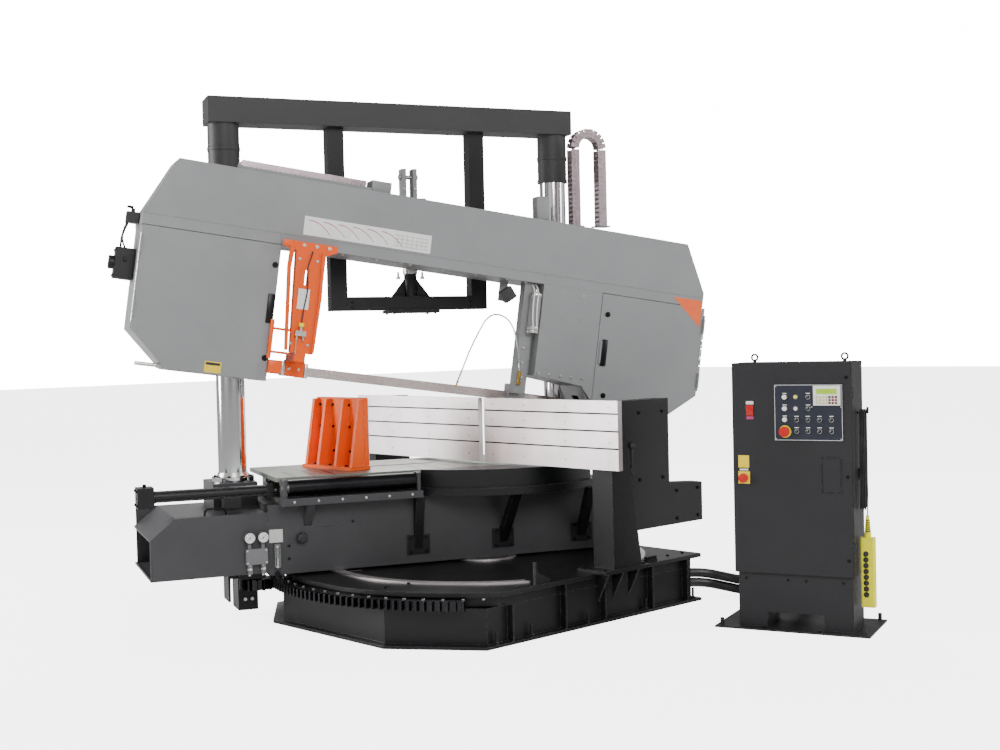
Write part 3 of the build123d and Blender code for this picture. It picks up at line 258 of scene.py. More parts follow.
head = square_frame(joints["guide_slide"]["axis"], joints["drive_spin"]["axis"],
                    joints["drive_spin"]["pos_m"], (1.225, 0, 0.430))
flat_along = Vector(joints["roller_spin"]["axis"])
swivel = square_frame(flat_along, Vector((0, 0, 1)).cross(flat_along), (0, 0, 0), (0, 0, 0))
inward = Vector(joints["estop_press"]["axis"])
cabinet = square_frame(inward.cross(Vector((0, 0, 1))), inward,
                       joints["cabinet_hinge"]["pos_m"], (0.923, 0.060, 1.0))


def corners(name, place):
    """Lowest and highest corner of a CAD node, measured in one of those frames."""
    back = place.inverted()
    points = [back @ v.co for v in nodes[name].data.vertices]
    return [Vector(map(pick, zip(*points))) for pick in (min, max)]


def block(mesh, low, high):
    """A box between two corners."""
    low, high = Vector(low), Vector(high)
    spread = Matrix.Translation((low + high) / 2) @ Matrix.Diagonal((*(high - low), 1))
    return bmesh.ops.create_cube(mesh, size=1, matrix=spread)["verts"]


def rod(mesh, start, end, radius, sides=24, end_radius=None):
    """A capped round bar, or a taper, between two points."""
    start, end = Vector(start), Vector(end)
    turned = (end - start).to_track_quat("Z", "Y").to_matrix().to_4x4()
    return bmesh.ops.create_cone(mesh, cap_ends=True, segments=sides, radius1=radius,
                                 radius2=radius if end_radius is None else end_radius,
                                 depth=(end - start).length,
                                 matrix=Matrix.Translation((start + end) / 2) @ turned)["verts"]


def plate(mesh, outline, near, far):
    """A flat plate whose outline is (x, z) pairs, from y = near to y = far."""
    face = mesh.faces.new([mesh.verts.new((x, near, z)) for x, z in outline])
    grown = bmesh.ops.extrude_face_region(mesh, geom=[face])["geom"]
    moved = [g for g in grown if isinstance(g, bmesh.types.BMVert)]
    bmesh.ops.translate(mesh, verts=moved, vec=(0, far - near, 0))
    bmesh.ops.recalc_face_normals(mesh, faces=mesh.faces)
    return moved


def round_edges(mesh, width, segments=2, sharper_than=30):
    """Rolls off every edge that is sharper than an angle."""
    sharp = [e for e in mesh.edges if e.is_manifold and e.calc_face_angle(0) > radians(sharper_than)]
    bmesh.ops.bevel(mesh, geom=sharp, offset=width, offset_type="OFFSET", affect="EDGES",
                    segments=segments, profile=0.5, material=-1, clamp_overlap=True)


def screw(mesh, place, out, size, sides=6):
    """A hexagon or round screw head on its washer, standing out from a face."""
    place, out = Vector(place), Vector(out).normalized()
    rod(mesh, place, place + out * size * 0.18, size * 1.15, 20)
    rod(mesh, place + out * size * 0.18, place + out * size * 0.85, size * 0.95, sides,
        size * 0.9)


# ---- Finishes ----
# Sprayed two-pack enamel on plate: an even colour with faint orange peel, a little dust and
# handling grime in patches, and paint rubbed thin and paler along the corners.
def enamel(name, code, dusty, roughness=0.42, worn="#8d8d8d", wear=0.35):
    """Sprayed enamel over steel."""
    material, tree, shader = new_material(name)
    spot = add_node(tree, "TexCoord").outputs["Object"]
    patch = add_node(tree, "TexNoise",
                     {"Vector": spot, "Scale": 1.6, "Detail": 8.0, "Roughness": 0.62})
    speck = add_node(tree, "TexNoise", {"Vector": spot, "Scale": 60.0, "Detail": 3.0})
    tint = add_node(tree, "ValToRGB", {"Fac": patch.outputs["Fac"]})
    tint.color_ramp.elements[0].position = 0.30
    tint.color_ramp.elements[0].color = to_linear(code)
    tint.color_ramp.elements[1].position = 0.85
    tint.color_ramp.elements[1].color = to_linear(dusty)
    rounded = add_node(tree, "Bevel", {"Radius": 0.006}, samples=4)
    flat = add_node(tree, "NewGeometry")
    facing = add_node(tree, "VectorMath", {0: rounded.outputs["Normal"], 1: flat.outputs["Normal"]},
                      operation="DOT_PRODUCT")
    edge = add_node(tree, "MapRange", {"Value": facing.outputs["Value"], "From Min": 0.985,
                                       "From Max": 0.86, "To Min": 0.0, "To Max": 1.0})
    broken = add_node(tree, "MapRange", {"Value": speck.outputs["Fac"], "From Min": 0.45,
                                         "From Max": 0.60, "To Min": 0.0, "To Max": wear})
    rub = add_node(tree, "Math", {0: edge.outputs["Result"], 1: broken.outputs["Result"]},
                   operation="MULTIPLY")
    paint = add_node(tree, "Mix", {"Factor": rub.outputs["Value"]}, data_type="RGBA")
    tree.links.new(tint.outputs["Color"], paint.inputs["A"])
    paint.inputs["B"].default_value = to_linear(worn)
    peel = add_node(tree, "TexNoise", {"Vector": spot, "Scale": 220.0, "Detail": 2.0})
    bump = add_node(tree, "Bump", {"Height": peel.outputs["Fac"], "Distance": 0.0006,
                                   "Strength": 0.22, "Normal": rounded.outputs["Normal"]})
    gloss = add_node(tree, "MapRange", {"Value": patch.outputs["Fac"], "From Min": 0.3,
                                        "From Max": 0.8, "To Min": roughness - 0.05,
                                        "To Max": roughness + 0.14})
    tree.links.new(paint.outputs["Result"], shader.inputs["Base Color"])
    tree.links.new(gloss.outputs["Result"], shader.inputs["Roughness"])
    tree.links.new(bump.outputs["Normal"], shader.inputs["Normal"])
    shader.inputs["Specular IOR Level"].default_value = 0.32
    return material


def worked_metal(name, code, stain, roughness, stretch=(1, 1, 1), grain=90.0, depth=0.0004,
                 metallic=1.0, stain_from=0.45):
    """Bare metal with the marks of its working drawn out along one way, and faint staining."""
    material, tree, shader = new_material(name)
    spot = add_node(tree, "TexCoord").outputs["Object"]
    drawn = add_node(tree, "Mapping", {"Vector": spot, "Rotation": (0, 0, radians(21.7))})
    pulled = add_node(tree, "VectorMath", {0: drawn.outputs["Vector"], 1: stretch},
                      operation="MULTIPLY")
    lines = add_node(tree, "TexNoise", {"Vector": pulled.outputs["Vector"], "Scale": grain,
                                        "Detail": 6.0, "Roughness": 0.6})
    cloud = add_node(tree, "TexNoise", {"Vector": spot, "Scale": 3.0, "Detail": 7.0})
    tint = add_node(tree, "ValToRGB", {"Fac": cloud.outputs["Fac"]})
    tint.color_ramp.elements[0].position = stain_from
    tint.color_ramp.elements[0].color = to_linear(code)
    tint.color_ramp.elements[1].position = 0.9
    tint.color_ramp.elements[1].color = to_linear(stain)
    gloss = add_node(tree, "MapRange", {"Value": lines.outputs["Fac"], "From Min": 0.3,
                                        "From Max": 0.7, "To Min": roughness * 0.75,
                                        "To Max": roughness * 1.3})
    rounded = add_node(tree, "Bevel", {"Radius": 0.002}, samples=4)
    bump = add_node(tree, "Bump", {"Height": lines.outputs["Fac"], "Distance": depth,
                                   "Strength": 0.3, "Normal": rounded.outputs["Normal"]})
    tree.links.new(tint.outputs["Color"], shader.inputs["Base Color"])
    tree.links.new(gloss.outputs["Result"], shader.inputs["Roughness"])
    tree.links.new(bump.outputs["Normal"], shader.inputs["Normal"])
    shader.inputs["Metallic"].default_value = metallic
    return material


grey_enamel = enamel("head_grey_enamel", "#8b8c8d", "#7f8081", 0.40, "#b9b9b9", 0.5)
black_enamel = enamel("frame_black_enamel", "#111113", "#1c1c1e", 0.38, "#77777a", 0.5)
body_enamel = enamel("body_charcoal_enamel", "#3c3c3e", "#464648", 0.42, "#8a8a8a", 0.5)
top_enamel = enamel("crossbar_dark_enamel", "#323132", "#3d3c3c", 0.5, "#77777a", 0.3)
orange_enamel = enamel("orange_enamel", "#f25a00", "#e04e00", 0.36, "#f4a77e", 0.6)
manifold_enamel = enamel("manifold_grey_enamel", "#6c6c6e", "#78787a", 0.4, "#9a9a9a", 0.5)
cabinet_enamel = enamel("cabinet_textured_enamel", "#222224", "#29292b", 0.5, "#77777a", 0.3)
ground_steel = worked_metal("surface_ground_steel", "#f0e8e8", "#cfc4c4", 0.40, (1, 1, 14), 24.0)
chrome = worked_metal("hard_chrome_plate", "#e2e2e4", "#cfcfd2", 0.09, (1, 1, 8), 40.0, 0.0001)
table_iron = worked_metal("planed_cast_iron", "#878d84", "#6c7269", 0.42, (1, 16, 1), 16.0,
                          0.0005, 0.75)
gear_iron = worked_metal("oiled_gear_iron", "#38373a", "#1c1b1c", 0.30, (1, 1, 1), 60.0)
dark_steel = worked_metal("oil_blackened_steel", "#2b2a2c", "#18181a", 0.34, (1, 1, 1), 80.0)
band_steel = worked_metal("rolled_band_steel", "#d8c9c6", "#b7a5a0", 0.28, (1, 9, 9), 30.0)
chain_plate = worked_metal("zinc_plated_chain", "#b3a2a6", "#8b7b80", 0.34, (1, 1, 1), 50.0)
bright_zinc = worked_metal("bright_zinc_plate", "#cdccc8", "#aeb0a4", 0.30, (1, 1, 1), 120.0)
brass = worked_metal("turned_brass", "#c9a24a", "#9c7a30", 0.28, (1, 1, 1), 120.0)
black_nylon = moulded_black("moulded_black_nylon")
black_rubber = moulded_black("black_neoprene", "#121213", 0.7)


def moulded(name, code, marked, roughness=0.35):
    """Coloured moulded plastic: even, slightly glossy, with the faintest ripple."""
    material, tree, shader = new_material(name)
    spot = add_node(tree, "TexCoord").outputs["Object"]
    cloud = add_node(tree, "TexNoise", {"Vector": spot, "Scale": 18.0, "Detail": 5.0})
    tint = add_node(tree, "ValToRGB", {"Fac": cloud.outputs["Fac"]})
    tint.color_ramp.elements[0].position = 0.4
    tint.color_ramp.elements[0].color = to_linear(code)
    tint.color_ramp.elements[1].position = 0.9
    tint.color_ramp.elements[1].color = to_linear(marked)
    bump = add_node(tree, "Bump",
                    {"Height": cloud.outputs["Fac"], "Distance": 0.0004, "Strength": 0.3})
    tree.links.new(tint.outputs["Color"], shader.inputs["Base Color"])
    tree.links.new(bump.outputs["Normal"], shader.inputs["Normal"])
    shader.inputs["Roughness"].default_value = roughness
    return material


red_plastic = moulded("red_polyamide", "#c4160f", "#a5110c", 0.28)
white_plastic = moulded("white_abs", "#e9e8e2", "#d9d7cf", 0.4)
yellow_plastic = moulded("yellow_abs", "#f0ea00", "#dfd600", 0.42)
label_white = moulded("printed_label_white", "#e8e8e6", "#dcdcda", 0.5)
label_yellow = moulded("printed_label_yellow", "#f2d21b", "#e2c010", 0.5)
label_black = moulded("printed_ink_black", "#1b1b1c", "#232324", 0.5)
ink_pink = moulded("printed_ink_magenta", "#b0356a", "#a33062", 0.5)
decal_orange = moulded("orange_vinyl_decal", "#f06423", "#e55a1b", 0.45)
display_green = moulded("green_lcd_face", "#a9cf3a", "#93b92e", 0.18)
clear_acrylic, tree, shader = new_material("clear_acrylic")
shader.inputs["Base Color"].default_value = to_linear("#dfe8df")
shader.inputs["Roughness"].default_value = 0.08
shader.inputs["Transmission Weight"].default_value = 0.85
shader.inputs["IOR"].default_value = 1.49

NODE_FINISHES = {
    black_enamel: ["base_frame", "base_top_plate", "vise_tower", "jaw_rear_support", "apron",
                   "swivel_drive", "hanger_post_left", "hanger_post_right", "hanger_bar",
                   "lift_cylinder", "tension_unit", "gearbox", "idle_carriage", "vise_cylinder",
                   "idle_wheel", "drive_wheel", "pendant_hanger"],
    top_enamel: ["top_crossbar"],
    body_enamel: ["swivel_beam", "chip_trough", "roller_rail"],
    grey_enamel: ["head_beam", "left_wheel_box", "right_wheel_box", "left_door", "right_door",
                  "carriage_left", "carriage_right", "fixed_guide", "lift_rod"],
    orange_enamel: ["movable_jaw", "guide_arm"],
    cabinet_enamel: ["cabinet_shell", "cabinet_plinth", "cabinet_door"],
    ground_steel: ["fixed_jaw_near", "fixed_jaw_far", "ring_track"],
    chrome: ["column_left", "column_right", "vise_rod"],
    table_iron: ["table_bed"],
    gear_iron: ["slew_gear_ring", "drive_pinion"],
    dark_steel: ["infeed_roller"],
    band_steel: ["blade"],
    chain_plate: ["chain_arch"],
    manifold_enamel: ["gauge_manifold"],
    red_plastic: ["estop_button", "main_switch"],
    white_plastic: ["push_button_1", "push_button_2", "push_button_3"],
    yellow_plastic: ["pendant_box"],
    black_rubber: ["pendant_hank"],
    black_nylon: ["lock_knob", "tower_lever", "work_lamp"],
}
for finish, names in NODE_FINISHES.items():
    for name in names:
        nodes[name].data.materials.clear()
        nodes[name].data.materials.append(finish)


# ---- Head: seams, hinges, latches and handles ----
# The head is folded and welded plate. Its doors hang on piano hinges at the outer ends and are
# held by quarter-turn latches, with a pressed cup handle on each.
HEAD_FACE = -0.200
hardware = bmesh.new()
for name, edge, outward in (("left_door", 0, -1), ("right_door", 1, 1)):
    low, high = corners(name, head)
    hinge_x = (low, high)[edge].x - outward * 0.004
    for step in range(9):
        foot = 0.20 + step * 0.066
        rod(hardware, (hinge_x, HEAD_FACE - 0.003, foot),
            (hinge_x, HEAD_FACE - 0.003, foot + 0.060), 0.0055, 10)
finish_piece("door_hinge_barrels", hardware, "head", bright_zinc, head)

for body, name, handle_x, latches in (
    ("left_door", "left_door_furniture", -1.672, ((-1.672, 0.700), (-1.672, 0.060))),
    ("right_door", "right_door_furniture", 0.872, ((0.872, 0.690), (0.905, 0.080))),
):
    furniture = bmesh.new()
    block(furniture, (handle_x - 0.024, HEAD_FACE - 0.0115, 0.300),
          (handle_x + 0.024, HEAD_FACE - 0.0005, 0.500))
    round_edges(furniture, 0.005)
    for x, z in latches:
        rod(furniture, (x, HEAD_FACE + 0.001, z), (x, HEAD_FACE - 0.006, z), 0.020)
        block(furniture, (x - 0.014, HEAD_FACE - 0.012, z - 0.003),
              (x + 0.014, HEAD_FACE - 0.005, z + 0.003))
    finish_piece(name, furniture, body, dark_steel, head)

beam_low, beam_high = corners("head_beam", head)
seams = bmesh.new()
for z in (0.921,):
    block(seams, (beam_low.x + 0.004, HEAD_FACE - 0.0018, z - 0.0025),
          (beam_high.x - 0.004, HEAD_FACE + 0.001, z + 0.0025))
for x in (-1.648, 0.326):
    block(seams, (x - 0.0025, HEAD_FACE - 0.0018, 0.850), (x + 0.0025, HEAD_FACE + 0.001, 0.921))
round_edges(seams, 0.0006, 1)
finish_piece("beam_weld_seams", seams, "head", grey_enamel, head)

bolts = bmesh.new()
for x in (-1.20, -0.95, -0.70, -0.45, -0.20, 0.05, 0.20):
    screw(bolts, (x, HEAD_FACE + 0.045, 0.8465), (0, 0, -1), 0.011)
for x in (0.36, 0.45, 0.54, 0.63, 0.72):
    screw(bolts, (x, HEAD_FACE - 0.0005, 0.185), (0, -1, 0), 0.009)
for x, z in ((0.50, 0.62), (0.66, 0.62), (0.50, 0.80), (0.66, 0.80)):
    screw(bolts, (x, HEAD_FACE - 0.0005, z), (0, -1, 0), 0.007)
finish_piece("head_screws", bolts, "head", bright_zinc, head)

# ---- Head: printed plates ----
# A white printed chart of band speeds, riveted to the beam, and vinyl decals in plain colours.
# The chart has curves and rules only, and the others are blank.
CHART = ((-1.505, 0.936), (-0.578, 1.066))
chart = bmesh.new()
plate(chart, [(CHART[0][0], CHART[0][1]), (CHART[1][0], CHART[0][1]), (CHART[1][0], CHART[1][1]),
              (CHART[0][0], CHART[1][1])], HEAD_FACE - 0.0022, HEAD_FACE - 0.0002)
finish_piece("chart_plate", chart, "head", label_white, head)
rules, curves = bmesh.new(), bmesh.new()
chart_wide, chart_high = CHART[1][0] - CHART[0][0], CHART[1][1] - CHART[0][1]
ink = (HEAD_FACE - 0.0030, HEAD_FACE - 0.0020)
for share in (0.10, 0.24, 0.38, 0.52, 0.66, 0.80, 0.92):
    x = CHART[0][0] + 0.70 * chart_wide + share * 0.28 * chart_wide
    plate(rules, [(x, CHART[0][1] + 0.02), (x + 0.0015, CHART[0][1] + 0.02),
                  (x + 0.0015, CHART[1][1] - 0.03), (x, CHART[1][1] - 0.03)], *ink)
for share in (0.15, 0.35, 0.55, 0.75):
    z = CHART[0][1] + share * chart_high
    plate(rules, [(CHART[0][0] + 0.70 * chart_wide, z), (CHART[1][0] - 0.02, z),
                  (CHART[1][0] - 0.02, z + 0.0015), (CHART[0][0] + 0.70 * chart_wide,
                                                     z + 0.0015)], *ink)
for number in range(6):
    start = CHART[0][0] + 0.03 + number * 0.105
    crest = [(start + 0.020 * step,
              CHART[1][1] - 0.028 - 0.085 * (step / 8) ** 2.2) for step in range(9)]
    for (x0, z0), (x1, z1) in zip(crest, crest[1:]):
        plate(curves, [(x0, z0), (x1, z1), (x1, z1 + 0.0055), (x0, z0 + 0.0055)], *ink)
finish_piece("chart_rules", rules, "head", label_black, head)
finish_piece("chart_curves", curves, "head", ink_pink, head)

decal = bmesh.new()
plate(decal, [(1.415, 0.898), (1.668, 0.898), (1.668, 0.690)], HEAD_FACE - 0.0014,
      HEAD_FACE - 0.0003)
finish_piece("corner_decal_upper", decal, "right_door", decal_orange, head)
blank = bmesh.new()
plate(blank, [(-2.070, -0.080), (-1.957, -0.080), (-1.957, -0.005), (-2.070, -0.005)],
      HEAD_FACE - 0.0014, HEAD_FACE - 0.0003)
finish_piece("blank_label_left", blank, "left_door", label_yellow, head)
blank = bmesh.new()
plate(blank, [(-2.062, -0.030), (-1.965, -0.030), (-1.965, -0.012), (-2.062, -0.012)],
      HEAD_FACE - 0.0020, HEAD_FACE - 0.0013)
finish_piece("blank_label_band", blank, "left_door", label_black, head)

# ---- Blade guide arm ----
# A cast arm, enamelled orange, which slides on a dovetail under the beam. It has its clamp
# slot, an adjusting valve, a blank plate, coolant lines and two carbide-faced guide blocks.
ARM_FACE = -0.2595
arm = bmesh.new()
plate(arm, [(-1.650, 0.880), (-1.650, 0.836), (-1.600, 0.836), (-1.605, 0.700), (-1.560, 0.130), (-1.535, 0.130),
            (-1.575, 0.700), (-1.560, 0.880)], ARM_FACE - 0.012, ARM_FACE - 0.0005)
round_edges(arm, 0.003)
plate(arm, [(-1.372, 0.820), (-1.352, 0.820), (-1.340, 0.520), (-1.352, 0.130), (-1.372, 0.130),
            (-1.362, 0.500)], ARM_FACE - 0.014, ARM_FACE - 0.0005)
finish_piece("guide_arm_ribs", arm, "guide_arm", orange_enamel, head)
arm_fittings = bmesh.new()
for x, z in ((-1.590, 0.858), (-1.500, 0.858), (-1.410, 0.858), (-1.320, 0.858)):
    screw(arm_fittings, (x, ARM_FACE - 0.0005, z), (0, -1, 0), 0.011)
for x, z in ((-1.520, 0.180), (-1.400, 0.180), (-1.520, 0.760), (-1.395, 0.760)):
    screw(arm_fittings, (x, ARM_FACE - 0.0005, z), (0, -1, 0), 0.009)
block(arm_fittings, (-1.500, ARM_FACE - 0.034, 0.235), (-1.425, ARM_FACE - 0.0005, 0.270))
rod(arm_fittings, (-1.462, ARM_FACE - 0.020, 0.270), (-1.462, ARM_FACE - 0.020, 0.300), 0.011)
rod(arm_fittings, (-1.485, ARM_FACE - 0.017, 0.235), (-1.485, ARM_FACE - 0.017, 0.205), 0.008)
rod(arm_fittings, (-1.440, ARM_FACE - 0.017, 0.235), (-1.440, ARM_FACE - 0.017, 0.205), 0.008)
round_edges(arm_fittings, 0.0015, 1)
finish_piece("guide_arm_fittings", arm_fittings, "guide_arm", bright_zinc, head)
valve = bmesh.new()
rod(valve, (-1.462, ARM_FACE - 0.020, 0.300), (-1.462, ARM_FACE - 0.020, 0.325), 0.019, 12)
round_edges(valve, 0.003)
finish_piece("guide_arm_valve_knob", valve, "guide_arm", yellow_plastic, head)
tag = bmesh.new()
plate(tag, [(-1.505, 0.420), (-1.425, 0.420), (-1.425, 0.560), (-1.505, 0.560)],
      ARM_FACE - 0.0022, ARM_FACE - 0.0005)
finish_piece("guide_arm_blank_plate", tag, "guide_arm", label_white, head)
side_strip = bmesh.new()
block(side_strip, (-1.664, ARM_FACE + 0.030, 0.060), (-1.636, ARM_FACE + 0.050, 0.330))
block(side_strip, (-1.650, ARM_FACE + 0.010, -0.040), (-1.560, ARM_FACE + 0.070, 0.055))
block(side_strip, (-1.636, ARM_FACE + 0.035, 0.100), (-1.500, ARM_FACE + 0.045, 0.118))
block(side_strip, (-1.636, ARM_FACE + 0.035, 0.260), (-1.500, ARM_FACE + 0.045, 0.278))
round_edges(side_strip, 0.003)
finish_piece("brush_bracket", side_strip, "guide_arm", orange_enamel, head)
guides = bmesh.new()
for near, far in ((-0.041, -0.0045), (0.0045, 0.041)):
    block(guides, (-1.512, near, -0.046), (-1.488, far, 0.058))
    block(guides, (-1.347, near, -0.046), (-1.323, far, 0.058))
for x in (-1.46, -1.39):
    screw(guides, (x, -0.0400, 0.010), (0, -1, 0), 0.009)
round_edges(guides, 0.002)
finish_piece("guide_block_faces", guides, "guide_arm", bright_zinc, head)


def tube_piece(name, route, across, body, material, place=Matrix(), sides=12):
    """A bent rigid tube through a route's points, as a closed mesh."""
    bent = lay_cord(name + "_line", [place @ Vector(p) for p in route], across, material)
    bent.data.bevel_resolution = sides // 4
    data = bpy.data.meshes.new_from_object(bent)
    bpy.data.objects.remove(bent)
    data.name = name
    made = bpy.data.objects.new(name, data)
    bpy.context.scene.collection.objects.link(made)
    data.materials.clear()
    data.materials.append(material)
    data.shade_smooth()
    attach(made, body)
    return made


tube_piece("guide_coolant_line",
           [(-1.485, -0.277, 0.205), (-1.485, -0.277, 0.150), (-1.480, -0.270, 0.100),
                                  (-1.470, -0.200, 0.095), (-1.460, -0.110, 0.090), (-1.455, -0.060,
                                                                                     0.060)],
           0.009, "guide_arm", bright_zinc, head)
tube_piece("guide_clamp_line", [(-1.462, -0.279, 0.325), (-1.462, -0.282, 0.420), (-1.445, -0.290, 0.560),
                                (-1.470, -0.285, 0.700), (-1.440, -0.275, 0.800), (-1.430, -0.240,
                                                                                   0.845)],
           0.009, "guide_arm", black_rubber, head)

# ---- Band's teeth ----
# The lower edge of the cutting run is toothed: bimetal teeth of a coarse pitch, milled into
# the band and set to both sides. They are drawn in line, at 19 mm.
TOOTH = 0.019
TOOTH_DEEP = 0.007
RUN = (-1.330, 0.190)
teeth = bmesh.new()
count = int((RUN[1] - RUN[0]) / TOOTH)
band_low = -0.0335
outline = []
for number in range(count):
    x = RUN[0] + number * TOOTH
    outline += [(x, band_low + TOOTH_DEEP), (x + 0.25 * TOOTH, band_low + 0.0004),
                (x + 0.35 * TOOTH, band_low + 0.0004)]
outline += [(RUN[0] + count * TOOTH, band_low + TOOTH_DEEP)]
plate(teeth, outline, -0.0014, 0.0014)
finish_piece("band_teeth", teeth, "head", bright_zinc, head)

# ---- Fixed guide, clamp cylinder and its lines ----
# The drive-side guide arm is a grey weldment. A pale clamp cylinder lies on its front with two
# white nylon hydraulic lines that climb to the beam.
low, high = corners("fixed_guide", head)
cylinder = bmesh.new()
for z, across in ((0.475, 0.047), (0.500, 0.045), (0.745, 0.047)):
    rod(cylinder, (0.278, -0.190, z), (0.278, -0.190, z + 0.022), across)
rod(cylinder, (0.278, -0.190, 0.765), (0.278, -0.190, 0.800), 0.016)
round_edges(cylinder, 0.002)
finish_piece("clamp_cylinder_rings", cylinder, "head", bright_zinc, head)
guide_plates = bmesh.new()
for z in (0.140, 0.250, 0.360):
    screw(guide_plates, (0.245, -0.1505, z), (0, -1, 0), 0.011)
for z in (-0.020, 0.040):
    screw(guide_plates, (0.260, -0.0600, z), (0, -1, 0), 0.010)
block(guide_plates, (0.215, -0.068, -0.050), (0.315, -0.060, 0.090))
round_edges(guide_plates, 0.0015, 1)
finish_piece("fixed_guide_screws", guide_plates, "head", bright_zinc, head)
for number, x in enumerate((0.262, 0.294)):
    tube_piece(f"clamp_line_{number + 1}",
               [(x, -0.226, 0.490), (x, -0.252, 0.500), (x - 0.020, -0.262, 0.560),
                                            (x - 0.030, -0.262, 0.690), (x - 0.015, -0.240, 0.790),
                                            (x - 0.010, -0.150, 0.838)],
               0.010, "head", white_plastic, head)

# ---- Coolant gooseneck ----
# A self-supporting steel gooseneck from a socket on the fixed guide, which arches over the cut
# and ends in a nozzle beside the blade.
NECK = [(0.225, -0.160, 0.180), (0.215, -0.160, 0.270), (0.180, -0.160, 0.400),
        (0.140, -0.160, 0.500),
        (0.080, -0.160, 0.565), (-0.010, -0.160, 0.585), (-0.080, -0.160, 0.540), (-0.120, -0.160,
                                                                                   0.450),
        (-0.165, -0.150, 0.330), (-0.200, -0.130, 0.190), (-0.228, -0.110, 0.062)]
NECK_ACROSS = 0.014
neck_core = lay_cord("neck_core", [head @ Vector(p) for p in NECK], NECK_ACROSS, bright_zinc)
neck_points = cord_line(neck_core)
bpy.data.objects.remove(neck_core)
neck = bmesh.new()
spacing, walked = 0.011, 0.0
for start, end in zip(neck_points, neck_points[1:]):
    step = (end - start).length
    while walked < step:
        here = start.lerp(end, walked / step)
        along = (end - start).normalized() * spacing
        rod(neck, here, here + along * 0.62, NECK_ACROSS / 2, 10)
        rod(neck, here + along * 0.55, here + along * 1.05, NECK_ACROSS / 2 - 0.0018, 10)
        walked += spacing
    walked -= step
finish_piece("coolant_gooseneck", neck, "head", chrome)
neck_ends = bmesh.new()
rod(neck_ends, (0.225, -0.160, 0.125), (0.225, -0.160, 0.185), 0.014, 6)
rod(neck_ends, (0.225, -0.160, 0.105), (0.225, -0.160, 0.130), 0.010, 16)
block(neck_ends, (0.212, -0.172, 0.085), (0.240, -0.149, 0.110))
rod(neck_ends, (-0.228, -0.110, 0.064), (-0.236, -0.104, 0.020), 0.009, 16, 0.005)
round_edges(neck_ends, 0.001, 1)
finish_piece("gooseneck_fittings", neck_ends, "head", brass, head)

# ---- Energy chains ----
# Two drag chains of plated steel: one lies on the head, the other loops over the drive-side
# column. Each is a row of plate links with cross bars and pins.
def chain_link(mesh, place, long, wide, high):
    """One link: two side plates with their pins, and the bars across its top and bottom."""
    made = []
    for side in (-1, 1):
        made += block(mesh, (-long * 0.56, side * wide / 2 - 0.0025, -high / 2),
                      (long * 0.46, side * wide / 2 + 0.0025, high / 2))
        made += rod(mesh, (-long * 0.5, side * (wide / 2 + 0.001), 0),
                    (-long * 0.5, side * (wide / 2 + 0.006), 0), high * 0.17, 8)
    for level in (-1, 1):
        made += block(mesh, (-long * 0.30, -wide / 2, level * high / 2 - 0.004 - level * 0.003),
                      (long * 0.22, wide / 2, level * high / 2 + 0.004 - level * 0.003))
    bmesh.ops.transform(mesh, matrix=place, verts=made)


LINK_LONG = 0.034
arch_low, arch_high = corners("chain_arch", swivel)
arch_middle = (arch_low + arch_high) / 2
arch_outer = (arch_high.x - arch_low.x) / 2
ARCH_DEEP = 0.078
arch_line = arch_outer - ARCH_DEEP / 2
crown = arch_high.z - arch_outer
arch = bmesh.new()
leg_links = int((crown - arch_low.z) / LINK_LONG)
for side in (-1, 1):
    for number in range(leg_links):
        up_way = Matrix.Rotation(radians(-90), 4, "Y")
        spot = (arch_middle.x + side * arch_line, arch_middle.y,
                arch_low.z + (number + 0.5) * LINK_LONG)
        chain_link(arch, Matrix.Translation(spot) @ up_way, LINK_LONG, 0.084, ARCH_DEEP - 0.012)
bend_links = round(pi * arch_line / LINK_LONG)
for number in range(bend_links):
    angle = pi * (number + 0.5) / bend_links
    spot = (arch_middle.x + arch_line * cos(angle), arch_middle.y, crown + arch_line * sin(angle))
    chain_link(arch, Matrix.Translation(spot) @ Matrix.Rotation(-angle - pi / 2, 4, "Y"), LINK_LONG,
               0.084, ARCH_DEEP - 0.012)
chain = finish_piece("energy_chain_arch", arch, "head", chain_plate, swivel)
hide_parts("chain_arch")

beam_top = beam_high.z
flat_chain = bmesh.new()
first, last = -1.960, -1.050
for number in range(int((last - first) / LINK_LONG)):
    chain_link(flat_chain, Matrix.Translation((first + (number + 0.5) * LINK_LONG, -0.060, beam_top + 0.042)),
               LINK_LONG, 0.110, 0.062)
finish_piece("energy_chain_flat", flat_chain, "head", chain_plate, head)
tray = bmesh.new()
block(tray, (first - 0.03, -0.130, beam_top + 0.0005), (last + 0.02, 0.010, beam_top + 0.006))
for side in (-0.134, 0.010):
    block(tray, (first - 0.03, side, beam_top + 0.0005),
          (last + 0.02, side + 0.004, beam_top + 0.028))
block(tray, (last + 0.010, -0.134, beam_top + 0.0005), (last + 0.155, 0.014, beam_top + 0.086))
round_edges(tray, 0.002)
finish_piece("chain_tray_and_bracket", tray, "head", grey_enamel, head)
arch_foot = bmesh.new()
block(arch_foot, (arch_low.x - 0.02, arch_low.y - 0.006, arch_low.z - 0.010),
      (arch_low.x + ARCH_DEEP + 0.02, arch_high.y + 0.006, arch_low.z))
block(arch_foot, (arch_high.x - ARCH_DEEP - 0.02, arch_low.y - 0.006, arch_low.z - 0.010),
      (arch_high.x + 0.02, arch_high.y + 0.006, arch_low.z))
round_edges(arch_foot, 0.002)
finish_piece("chain_arch_feet", arch_foot, "head", grey_enamel, swivel)
cable_box = bmesh.new()
block(cable_box, (arch_low.x - 0.330, -0.130, 2.830), (arch_low.x - 0.230, -0.030, 3.010))
round_edges(cable_box, 0.012, 3)
finish_piece("chain_side_duct", cable_box, "head", grey_enamel, swivel)

